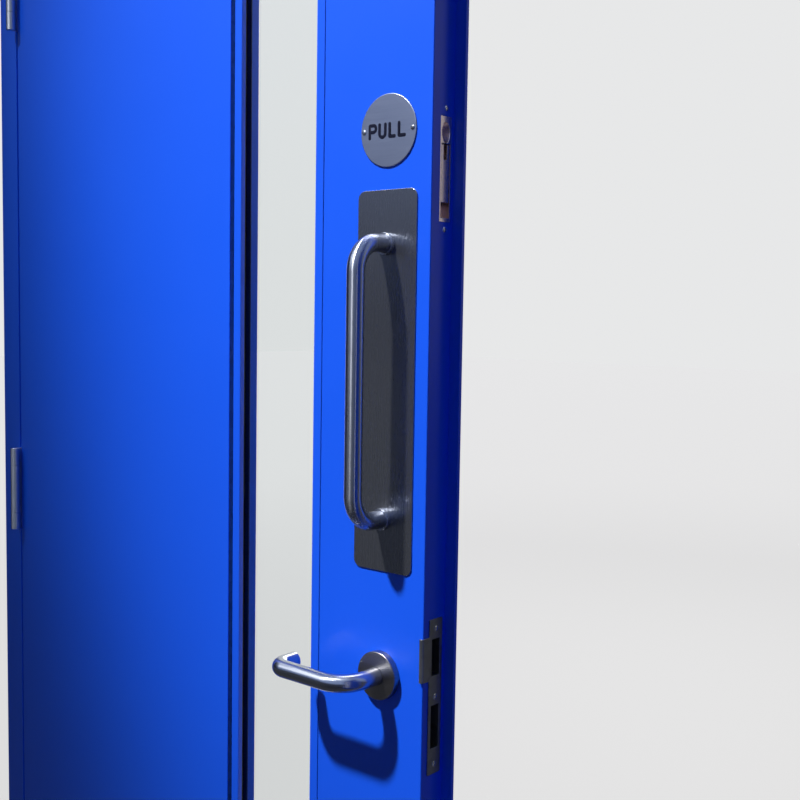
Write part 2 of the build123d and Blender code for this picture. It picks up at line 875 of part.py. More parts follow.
def in_left(piece):
    return Pos(-meeting_gap / 2, 0, 0) * piece


def in_right(piece):
    """The right leaf is drawn as a left one, turned over and swung open about its pins."""
    closed = mirror(in_left(piece), about=Plane.YZ)
    pins = Pos(pin_x, -pin_offset, 0)
    return pins * Rot(0, 0, open_angle) * pins.inverse() * closed


def in_frame(piece):
    return piece


def write(name, pieces, place):
    """Move a sub-part to its place in the set and write it as one file."""
    if not isinstance(pieces, list):
        pieces = [pieces]
    solids = []
    for piece in pieces:
        moved = Pos(0, -frame_depth / 2, 0) * place(piece)
        solids += moved.solids()
    export_step(Compound(children=solids) if len(solids) > 1 else solids[0], f"parts/{name}.step")


def leaf_pieces():
    """What both leaves have."""
    return {
        "vision_lining": vision_lining(),
        "front_bead": front_bead(),
        "back_bead": back_bead(),
        "glass": glass(),
        "glazing_gaskets": glazing_gaskets(),
        "hinge_leaves": leaf_hinge_halves(),
        "roses": roses(),
        "front_lever": lever(),
        "back_lever": to_back(lever()),
        "spindle": spindle(),
        "pull_plate": pull_plate(),
        "pull_handle": pull_handle(),
        "pull_ferrules": pull_ferrules(),
    }


def main():
    os.makedirs("parts", exist_ok=True)
    frame = {
        "left_jamb": left_jamb(),
        "right_jamb": mirror(left_jamb(), about=Plane.YZ),
        "frame_head": frame_head(),
        "threshold": threshold(),
        "frame_seal": frame_seal(),
        "wall_anchors": wall_anchors(),
        "head_keeper": head_keeper(),
        "floor_socket": floor_socket(),
        "hinge_frame_leaves": hinge_frame_leaves(),
        "hinge_pins": hinge_pins(),
    }
    left = {
        "front_skin": left_front_skin(),
        "back_skin": left_back_skin(),
        "core": left_core(),
        "pull_sign": sign(),
        "strike_plate": strike_plate(),
        "strike_box": strike_box(),
        "lower_bolt_case": at_bolt(0, flush_case()),
        "upper_bolt_case": at_bolt(1, flush_case()),
        "lower_bolt_lever": at_bolt(0, flush_lever()),
        "upper_bolt_lever": at_bolt(1, flush_lever()),
        "lower_bolt_rod": at_bolt(0, flush_rod(rod_length(0))),
        "upper_bolt_rod": at_bolt(1, flush_rod(rod_length(1))),
    }
    right = {
        "front_skin": right_front_skin(),
        "back_skin": right_back_skin(),
        "core": right_core(),
        "lock_case": lock_case(),
        "forend": forend(),
        "latch_bolt": latch_bolt(),
        "deadbolt": deadbolt(),
        "lock_cylinder": lock_cylinder(),
        "escutcheons": escutcheons(),
        "thumb_turn": thumb_turn(),
    }
    both = leaf_pieces()
    for name, pieces in frame.items():
        write(name, pieces, in_frame)
    for name, pieces in {**left, **both}.items():
        write("left_" + name, pieces, in_left)
    for name, pieces in {**right, **both}.items():
        write("right_" + name, pieces, in_right)


main()
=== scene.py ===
import json
import logging
import math
from dataclasses import dataclass, field
from enum import Enum
from typing import Callable, Sequence

import bmesh
import bpy
from mathutils import Matrix, Vector

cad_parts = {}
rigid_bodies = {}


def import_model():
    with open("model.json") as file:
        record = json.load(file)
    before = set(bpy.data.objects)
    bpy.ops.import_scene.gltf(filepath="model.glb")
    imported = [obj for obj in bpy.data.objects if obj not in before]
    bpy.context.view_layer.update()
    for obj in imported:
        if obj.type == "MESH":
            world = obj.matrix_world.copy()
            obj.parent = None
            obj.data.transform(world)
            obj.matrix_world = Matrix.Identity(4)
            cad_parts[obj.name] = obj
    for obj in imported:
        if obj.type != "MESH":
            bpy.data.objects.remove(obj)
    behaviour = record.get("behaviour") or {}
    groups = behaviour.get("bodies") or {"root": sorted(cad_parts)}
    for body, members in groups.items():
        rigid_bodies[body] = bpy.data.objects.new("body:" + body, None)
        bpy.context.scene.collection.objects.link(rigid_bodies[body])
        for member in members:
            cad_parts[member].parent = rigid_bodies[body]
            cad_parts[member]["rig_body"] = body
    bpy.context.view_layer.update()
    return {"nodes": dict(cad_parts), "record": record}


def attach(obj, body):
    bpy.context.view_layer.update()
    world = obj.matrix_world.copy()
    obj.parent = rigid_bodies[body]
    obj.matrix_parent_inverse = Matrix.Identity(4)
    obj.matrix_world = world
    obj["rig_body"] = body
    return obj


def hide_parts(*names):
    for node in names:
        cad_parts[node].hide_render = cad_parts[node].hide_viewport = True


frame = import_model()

log = logging.getLogger("fire_door")
MM = 0.001
Point = tuple[float, float, float]
Colour = tuple[float, float, float]
Span = tuple[float, float]
Run = Sequence[tuple[Point, float]]
Socket = bpy.types.NodeSocket
Node = bpy.types.Node
NodeTree = bpy.types.NodeTree
Material = bpy.types.Material
Mesh = bpy.types.Mesh
Piece = bpy.types.Object

# Sockets whose name the node has more than once, by their place
MIX_LOW, MIX_HIGH, MIX_RESULT = 6, 7, 2
RANDOM_MOST, RANDOM_RESULT = 3, 1


class Side(Enum):
    """The two leaves: the left one is bolted shut and the right one stands open."""

    LEFT = "left"
    RIGHT = "right"


class Face(Enum):
    """The two faces of a leaf."""

    FRONT = "front"
    BACK = "back"


class Grain(Enum):
    """How far the brushed lines of a steel piece are drawn out along each axis."""

    ALONG_X = (0.03, 1.0, 1.0)
    ALONG_Z = (1.0, 1.0, 0.03)
    EVEN = (1.0, 1.0, 1.0)


class Drive(Enum):
    """The recess in a screw's head: how many slots it has and their length per head radius."""

    SLOT = (1, 2.4)
    CROSS = (2, 1.15)


# Objects and meshes

def put(name: str, data: bpy.types.ID) -> Piece:
    """Puts a mesh, a lamp or a camera in the scene, at the origin.

    Args:
        name: The object's name.
        data: What the object holds.

    Returns:
        The object.
    """
    made = bpy.data.objects.new(name, data)
    bpy.context.scene.collection.objects.link(made)
    return made


def drawn(name: str, shape: bmesh.types.BMesh) -> Mesh:
    """Turns a drawn shape into a mesh and lets the drawing go.

    Args:
        name: The mesh's name.
        shape: The drawn shape.

    Returns:
        The mesh.
    """
    mesh = bpy.data.meshes.new(name)
    shape.to_mesh(mesh)
    shape.free()
    return mesh


# Node trees

@dataclass
class Sketch:
    """A node tree that is being drawn."""

    tree: NodeTree

    def node(self, kind: str, **settings: object) -> Node:
        """Adds a node.

        Args:
            kind: The node's type name.
            settings: Properties to set on it, by name.

        Returns:
            The new node.
        """
        made = self.tree.nodes.new(kind)
        for name, value in settings.items():
            setattr(made, name, value)
        return made

    def join(self, source: Socket, *targets: Socket) -> None:
        """Links one output to one or more inputs.

        Args:
            source: The output.
            targets: The inputs that it feeds.
        """
        for target in targets:
            self.tree.links.new(source, target)

    def socket(self, name: str, kind: str, start: object = None, output: bool = False) -> str:
        """Adds a named socket to the tree's outside.

        Args:
            name: The socket's name.
            kind: The socket's type name.
            start: Its first value, where it has one.
            output: True for an output.

        Returns:
            The socket's identifier.
        """
        way = "OUTPUT" if output else "INPUT"
        made = self.tree.interface.new_socket(name=name, in_out=way, socket_type=kind)
        if start is not None:
            made.default_value = start
        return made.identifier

    def fill(self, place: Socket, value: object) -> None:
        """Gives an input its value.

        Args:
            place: The input.
            value: An output that feeds it, a number, a colour, or nothing to leave it as it is.
        """
        if isinstance(value, Socket):
            self.join(value, place)
        elif isinstance(value, tuple):
            place.default_value = (*value, 1.0)
        elif value is not None:
            place.default_value = value

    def maths(self, operation: str, first: object, second: object = None,
              clamp: bool = False) -> Socket:
        """Adds a Math node.

        Args:
            operation: The operation's name.
            first: A socket or a number.
            second: A socket, a number, or nothing.
            clamp: True to keep the result between 0 and 1.

        Returns:
            The node's output.
        """
        made = self.node("ShaderNodeMath", operation=operation, use_clamp=clamp)
        for place, value in zip(made.inputs, (first, second)):
            self.fill(place, value)
        return made.outputs[0]

    def ranged(self, mask: Socket, low: float, high: float) -> Socket:
        """Turns a mask into a value between two limits.

        Args:
            mask: The output that holds the mask.
            low: The value where the mask is 0.
            high: The value where the mask is 1.

        Returns:
            The value's output.
        """
        return self.maths("ADD", self.maths("MULTIPLY", mask, high - low), low)

    def noise(self, place: Socket, scale: object, detail: float) -> Node:
        """Adds a Noise Texture node.

        Args:
            place: The output that holds the coordinates.
            scale: The patches per metre, or an output that gives them.
            detail: The number of finer layers.

        Returns:
            The node.
        """
        made = self.node("ShaderNodeTexNoise")
        made.inputs["Detail"].default_value = detail
        self.join(place, made.inputs["Vector"])
        self.fill(made.inputs["Scale"], scale)
        return made

    def ramp(self, value: Socket, low: float, high: float) -> Socket:
        """Turns a value into a mask that rises smoothly from 0 to 1.

        Args:
            value: The output that holds the value.
            low: The value at which the mask is 0.
            high: The value at which the mask is 1.

        Returns:
            The mask's output.
        """
        made = self.node("ShaderNodeMapRange", interpolation_type="SMOOTHSTEP")
        made.inputs["From Min"].default_value = low
        made.inputs["From Max"].default_value = high
        self.join(value, made.inputs["Value"])
        return made.outputs[0]

    def blend(self, mask: Socket, low: object, high: object) -> Socket:
        """Mixes two colours by a mask.

        Args:
            mask: The output that holds the mask.
            low: The colour where the mask is 0, or an output that gives it.
            high: The colour where the mask is 1, or an output that gives it.

        Returns:
            The mixed colour's output.
        """
        made = self.node("ShaderNodeMix", data_type="RGBA")
        self.join(mask, made.inputs[0])
        self.fill(made.inputs[MIX_LOW], low)
        self.fill(made.inputs[MIX_HIGH], high)
        return made.outputs[MIX_RESULT]


class Effects:
    """Shader node groups that several finishes share, each built once."""

    middle: float = 0.5
    line_layers: Span = (1.0, 0.23)
    line_gain: float = 1.3
    dust_grains: float = 160.0
    dust_fall: float = 2.0
    skin_softness: float = 0.4

    def __init__(self) -> None:
        """Builds the groups."""
        self.clouds = self._clouds()
        self.brushed = self._brushed()
        self.dust = self._dust()
        self.skin = self._skin()

    def _start(self, name: str) -> tuple[Sketch, Node, Node, Socket]:
        """Starts a group that reads the piece's own place.

        Args:
            name: The group's name.

        Returns:
            The sketch, its input node, its output node and the Object coordinates.
        """
        sketch = Sketch(bpy.data.node_groups.new(name, "ShaderNodeTree"))
        place = sketch.node("ShaderNodeTexCoord").outputs["Object"]
        return sketch, sketch.node("NodeGroupInput"), sketch.node("NodeGroupOutput"), place

    def _clouds(self) -> NodeTree:
        """Slow, cloudy change over a surface, as a mask from 0 to 1.

        Returns:
            The node group.
        """
        sketch, given, result, place = self._start("cloudy_change")
        sketch.socket("Patches per Metre", "NodeSocketFloat", 5.0)
        sketch.socket("Contrast", "NodeSocketFloat", 1.6)
        sketch.socket("Mask", "NodeSocketFloat", output=True)
        noise = sketch.noise(place, given.outputs["Patches per Metre"], detail=3.0)
        off = sketch.maths("SUBTRACT", noise.outputs[0], self.middle)
        spread = sketch.maths("MULTIPLY", off, given.outputs["Contrast"])
        mask = sketch.maths("ADD", spread, self.middle, clamp=True)
        sketch.join(mask, result.inputs["Mask"])
        return sketch.tree

    def _brushed(self) -> NodeTree:
        """Fine parallel lines of a brushed surface, as a mask from 0 to 1.

        Returns:
            The node group.
        """
        sketch, given, result, place = self._start("brushed_lines")
        sketch.socket("Draw Out", "NodeSocketVector", (1.0, 1.0, 1.0))
        sketch.socket("Lines per Metre", "NodeSocketFloat", 1800.0)
        sketch.socket("Mask", "NodeSocketFloat", output=True)
        drawn_out = sketch.node("ShaderNodeVectorMath", operation="MULTIPLY")
        sketch.join(place, drawn_out.inputs[0])
        sketch.join(given.outputs["Draw Out"], drawn_out.inputs[1])
        parts = []
        for share in self.line_layers:
            scale = sketch.maths("MULTIPLY", given.outputs["Lines per Metre"], share)
            noise = sketch.noise(drawn_out.outputs[0], scale, detail=2.0)
            parts.append(sketch.maths("SUBTRACT", noise.outputs[0], self.middle))
        both = sketch.maths("MULTIPLY", sketch.maths("ADD", *parts), self.line_gain)
        mask = sketch.maths("ADD", both, self.middle, clamp=True)
        sketch.join(mask, result.inputs["Mask"])
        return sketch.tree

    def _dust(self) -> NodeTree:
        """Thin dust that lies on whatever faces upwards.

        Returns:
            The node group.
        """
        sketch, given, result, place = self._start("settled_dust")
        sketch.socket("Amount", "NodeSocketFloat", 0.3)
        sketch.socket("Mask", "NodeSocketFloat", output=True)
        noise = sketch.noise(place, self.dust_grains, detail=4.0)
        aim = sketch.node("ShaderNodeSeparateXYZ")
        sketch.join(sketch.node("ShaderNodeNewGeometry").outputs["Normal"], aim.inputs[0])
        upper = sketch.maths("MAXIMUM", aim.outputs["Z"], 0.0)
        upward = sketch.maths("POWER", upper, self.dust_fall)
        thick = sketch.maths("MULTIPLY", upward, noise.outputs[0])
        mask = sketch.maths("MULTIPLY", thick, given.outputs["Amount"], clamp=True)
        sketch.join(mask, result.inputs["Mask"])
        return sketch.tree

    def _skin(self) -> NodeTree:
        """The slight unevenness of sprayed paint or moulded rubber, as a height.

        Returns:
            The node group.
        """
        sketch, given, result, place = self._start("uneven_skin")
        sketch.socket("Bumps per Metre", "NodeSocketFloat", 400.0)
        sketch.socket("Height", "NodeSocketFloat", output=True)
        noise = sketch.noise(place, given.outputs["Bumps per Metre"], detail=1.5)
        noise.inputs["Roughness"].default_value = self.skin_softness
        sketch.join(noise.outputs[0], result.inputs["Height"])
        return sketch.tree


# Finishes

@dataclass
class Shade:
    """A material that is being mixed, with its shader ready."""

    name: str
    effects: Effects
    sketch: Sketch = field(init=False)
    shader: Node = field(init=False)
    material: Material = field(init=False)

    def __post_init__(self) -> None:
        """Starts the material and finds its shader."""
        self.material = bpy.data.materials.new(f"{self.name}_finish")
        self.material.use_nodes = True
        self.sketch = Sketch(self.material.node_tree)
        self.shader = self.material.node_tree.nodes["Principled BSDF"]

    def effect(self, group: NodeTree, **values: object) -> Socket:
        """Places a shared effect in the material.

        Args:
            group: The effect's node group.
            values: Its inputs by name, with _ for a space.

        Returns:
            The effect's output.
        """
        made = self.sketch.node("ShaderNodeGroup", node_tree=group)
        for name, value in values.items():
            made.inputs[name.replace("_", " ")].default_value = value
        return made.outputs[0]

    def feed(self, socket: str, source: Socket) -> None:
        """Links an output to one of the shader's inputs."""
        self.sketch.join(source, self.shader.inputs[socket])

    def plain(self, **values: object) -> None:
        """Sets the shader's own sockets by name, with _ for a space."""
        for name, value in values.items():
            self.shader.inputs[name.replace("_", " ")].default_value = value

    def dull(self, mask: Socket, limits: Span) -> None:
        """Feeds a roughness between two limits, by a mask."""
        self.feed("Roughness", self.sketch.ranged(mask, *limits))

    def dusty(self, base: Socket, dust: Colour, amount: float) -> None:
        """Feeds the base colour, with dust on whatever faces upwards.

        Args:
            base: The output that holds the clean colour.
            dust: The dust's colour.
            amount: How thick the dust lies.
        """
        settled = self.effect(self.effects.dust, Amount=amount)
        self.feed("Base Color", self.sketch.blend(settled, base, dust))

    def bump(self, height: Socket, depth: float, strength: float) -> None:
        """Feeds a height into the shader's normal.

        Args:
            height: The output that holds the height, from 0 to 1.
            depth: How deep that is, in metres.
            strength: How strongly it shows.
        """
        made = self.sketch.node("ShaderNodeBump")
        made.inputs["Distance"].default_value = depth
        made.inputs["Strength"].default_value = strength
        self.sketch.join(height, made.inputs["Height"])
        self.feed("Normal", made.outputs[0])


@dataclass(frozen=True)
class Change:
    """A slow, cloudy change of tone or gloss."""

    patches: float
    contrast: float

    def mask(self, shade: Shade) -> Socket:
        """Places the change in a material.

        Args:
            shade: The material that is being mixed.

        Returns:
            The mask's output.
        """
        return shade.effect(shade.effects.clouds, Patches_per_Metre=self.patches,
                            Contrast=self.contrast)


@dataclass(frozen=True)
class Bumps:
    """A fine uneven skin: its bumps per metre, their depth in metres and how they show."""

    rate: float
    depth: float
    strength: float

    def press(self, shade: Shade) -> None:
        """Presses the bumps into a material.

        Args:
            shade: The material that is being mixed.
        """
        height = shade.effect(shade.effects.skin, Bumps_per_Metre=self.rate)
        shade.bump(height, self.depth, self.strength)


@dataclass(frozen=True)
class SprayedPaint:
    """Smooth sprayed paint with a soft gloss."""

    name: str
    colour: Colour
    deep: Colour
    slow: Change = Change(2.2, 1.4)
    hands: Change = Change(16.0, 1.5)
    gloss: Span = (0.27, 0.36)
    skin: Bumps = Bumps(260.0, 0.00006, 0.5)
    ior: float = 1.5
    dust: Colour = (0.42, 0.44, 0.48)
    dust_amount: float = 0.16

    def mix(self, effects: Effects) -> Material:
        """Builds the material.

        Args:
            effects: The shared effects.

        Returns:
            The material.
        """
        shade = Shade(self.name, effects)
        base = shade.sketch.blend(self.slow.mask(shade), self.deep, self.colour)
        shade.dusty(base, self.dust, self.dust_amount)
        shade.dull(self.hands.mask(shade), self.gloss)
        self.skin.press(shade)
        shade.plain(IOR=self.ior)
        return shade.material


@dataclass(frozen=True)
class BrushedSteel:
    """Steel with fine brushed lines."""

    name: str
    light: Colour
    dark: Colour
    grain: Grain
    gloss: Span
    lines: float = 1800.0
    groove: float = 0.000012
    stretch: float = 0.0
    stretch_turn: float = 0.0
    metal: float = 1.0
    hands: Change = Change(22.0, 1.7)
    line_share: float = 0.6
    groove_strength: float = 0.6
    dust: Colour = (0.40, 0.39, 0.37)
    dust_amount: float = 0.12

    def mix(self, effects: Effects) -> Material:
        """Builds the material.

        Args:
            effects: The shared effects.

        Returns:
            The material.
        """
        shade = Shade(self.name, effects)
        sketch = shade.sketch
        lines = shade.effect(effects.brushed, Draw_Out=self.grain.value,
                             Lines_per_Metre=self.lines)
        from_lines = sketch.ranged(lines, 0.0, self.line_share)
        from_hands = sketch.ranged(self.hands.mask(shade), 0.0, 1.0 - self.line_share)
        base = sketch.blend(lines, self.dark, self.light)
        shade.dusty(base, self.dust, self.dust_amount)
        shade.dull(sketch.maths("ADD", from_lines, from_hands), self.gloss)
        shade.bump(lines, self.groove, self.groove_strength)
        shade.plain(Metallic=self.metal, Anisotropic=self.stretch,
                    Anisotropic_Rotation=self.stretch_turn)
        return shade.material


@dataclass(frozen=True)
class ZincPlate:
    """Dull zinc-plated sheet with a faint crystal pattern."""

    name: str
    colour: Colour
    spangle: Colour
    crystals: float = 120.0
    slow: Change = Change(30.0, 1.5)
    gloss: Span = (0.36, 0.52)
    skin: Bumps = Bumps(900.0, 0.00002, 0.5)

    def mix(self, effects: Effects) -> Material:
        """Builds the material.

        Args:
            effects: The shared effects.

        Returns:
            The material.
        """
        shade = Shade(self.name, effects)
        sketch = shade.sketch
        cells = sketch.node("ShaderNodeTexVoronoi")
        cells.inputs["Scale"].default_value = self.crystals
        sketch.join(sketch.node("ShaderNodeTexCoord").outputs["Object"], cells.inputs["Vector"])
        tone = sketch.node("ShaderNodeSeparateColor")
        sketch.join(cells.outputs["Color"], tone.inputs[0])
        shade.feed("Base Color", sketch.blend(tone.outputs[0], self.colour, self.spangle))
        shade.dull(self.slow.mask(shade), self.gloss)
        self.skin.press(shade)
        shade.plain(Metallic=1.0)
        return shade.material


@dataclass(frozen=True)
class Moulded:
    """A dull surface of one colour, such as rubber, enamel or mineral board."""

    name: str
    colour: Colour
    pale: Colour
    gloss: Span
    skin: Bumps
    ior: float = 1.5
    slow: Change = Change(40.0, 1.6)
    dust: Colour = (0.30, 0.30, 0.29)
    dust_amount: float = 0.2

    def mix(self, effects: Effects) -> Material:
        """Builds the material.

        Args:
            effects: The shared effects.

        Returns:
            The material.
        """
        shade = Shade(self.name, effects)
        slow = self.slow.mask(shade)
        base = shade.sketch.blend(slow, self.colour, self.pale)
        shade.dusty(base, self.dust, self.dust_amount)
        shade.dull(slow, self.gloss)
        self.skin.press(shade)
        shade.plain(IOR=self.ior)
        return shade.material


@dataclass(frozen=True)
class ClearGlass:
    """Clear fire glass with a faint tint and the odd smear."""

    name: str
    colour: Colour
    smears: Change = Change(9.0, 1.8)
    haze: Span = (0.0, 0.035)
    ior: float = 1.5

    def mix(self, effects: Effects) -> Material:
        """Builds the material.

        Args:
            effects: The shared effects.

        Returns:
            The material.
        """
        shade = Shade(self.name, effects)
        shade.dull(self.smears.mask(shade), self.haze)
        shade.plain(Base_Color=(*self.colour, 1.0), Metallic=0.0,
                    Transmission_Weight=1.0, IOR=self.ior)
        return shade.material


class Palette:
    """Every finish of the door set, mixed once and looked up by name."""

    def __init__(self) -> None:
        """Mixes all the finishes."""
        effects = Effects()
        made = [finish.mix(effects) for finish in (*self._steels(), *self._others())]
        self._made = {material.name.removesuffix("_finish"): material for material in made}
        log.info("finishes mixed: %d", len(self._made))

    def _steels(self) -> tuple[BrushedSteel, ...]:
        """Names the brushed steels and the brass.

        Returns:
            The finishes.
        """
        # satin: the steel's own grey tinted blue; the blue tint is partly a painted reflection of
        # the blue door and sky
        satin = dict(light=(0.54, 0.56, 0.62), dark=(0.46, 0.48, 0.53))
        # plate: dark brushed steel, tinted blue; the blue tint is a painted reflection of the sky
        plate = dict(light=(0.315, 0.33, 0.37), dark=(0.30, 0.313, 0.35))
        fine = dict(lines=2600.0, groove=0.000003)
        upright = dict(grain=Grain.ALONG_Z, stretch_turn=0.25)
        return (
            BrushedSteel("satin_steel", grain=Grain.EVEN, gloss=(0.22, 0.32), **fine, **satin),
            BrushedSteel("satin_bar_x", grain=Grain.ALONG_X, gloss=(0.19, 0.27),
                         groove=0.000004, stretch=0.6, **satin),
            # the pull handle's bar: a darker, bluer copy of the satin steel; the darkening is
            # painted shade for the dark plate and shadow that it mirrors
            BrushedSteel("satin_bar_z", light=(0.47, 0.49, 0.55), dark=(0.40, 0.42, 0.475),
                         gloss=(0.25, 0.31), groove=0.000003, stretch=0.92, **upright),
            BrushedSteel("bolt_steel", light=(0.97, 0.80, 0.73), dark=(0.82, 0.66, 0.60),
                         grain=Grain.ALONG_Z, gloss=(0.20, 0.32), **fine),
            BrushedSteel("hinge_steel", light=(0.66, 0.67, 0.70), dark=(0.62, 0.63, 0.66),
                         gloss=(0.36, 0.42), lines=2600.0, groove=0.000001, stretch=0.9,
                         **upright),
            BrushedSteel("rose_steel", light=(0.40, 0.375, 0.36), dark=(0.30, 0.28, 0.27),
                         grain=Grain.EVEN, gloss=(0.24, 0.36), **fine),
            BrushedSteel("plate_steel", grain=Grain.ALONG_Z, gloss=(0.265, 0.285),
                         lines=6500.0, groove=0.0000015, stretch=0.7, metal=0.92, **plate),
            BrushedSteel("sign_steel", light=(0.46, 0.50, 0.62), dark=(0.41, 0.45, 0.56),
                         grain=Grain.ALONG_X, gloss=(0.30, 0.40), lines=5200.0,
                         groove=0.000003),
            BrushedSteel("screw_steel", light=(0.78, 0.76, 0.72), dark=(0.56, 0.55, 0.52),
                         grain=Grain.EVEN, gloss=(0.12, 0.24), lines=3000.0),
            BrushedSteel("nickel_brass", light=(0.66, 0.62, 0.53), dark=(0.48, 0.45, 0.38),
                         grain=Grain.ALONG_Z, gloss=(0.20, 0.34)),
            BrushedSteel("dark_brushed_steel", grain=Grain.ALONG_X, gloss=(0.24, 0.40), **plate),
        )

    def _others(self) -> tuple[SprayedPaint | ZincPlate | Moulded | ClearGlass, ...]:
        """Names the paint, the zinc, the moulded surfaces and the glass.

        Returns:
            The finishes.
        """
        return (
            SprayedPaint("blue_paint", colour=(0.0095, 0.118, 0.96), deep=(0.008, 0.104, 0.88)),
            ZincPlate("zinc_steel", colour=(0.27, 0.265, 0.235), spangle=(0.34, 0.335, 0.30)),
            Moulded("black_rubber", colour=(0.012, 0.012, 0.013), pale=(0.022, 0.022, 0.024),
                    gloss=(0.55, 0.72), skin=Bumps(1400.0, 0.00004, 0.6)),
            Moulded("mineral_core", colour=(0.60, 0.58, 0.52), pale=(0.74, 0.72, 0.66),
                    gloss=(0.85, 0.95), skin=Bumps(500.0, 0.0003, 0.6)),
            Moulded("navy_enamel", colour=(0.008, 0.010, 0.024), pale=(0.011, 0.013, 0.032),
                    gloss=(0.60, 0.72), skin=Bumps(900.0, 0.00002, 0.6), ior=1.15),
            ClearGlass("fire_glass", colour=(0.93, 0.96, 0.955)),
        )

    def __getitem__(self, name: str) -> Material:
        """Returns a finish by name."""
        return self._made[name]


# Shapes that follow a rule

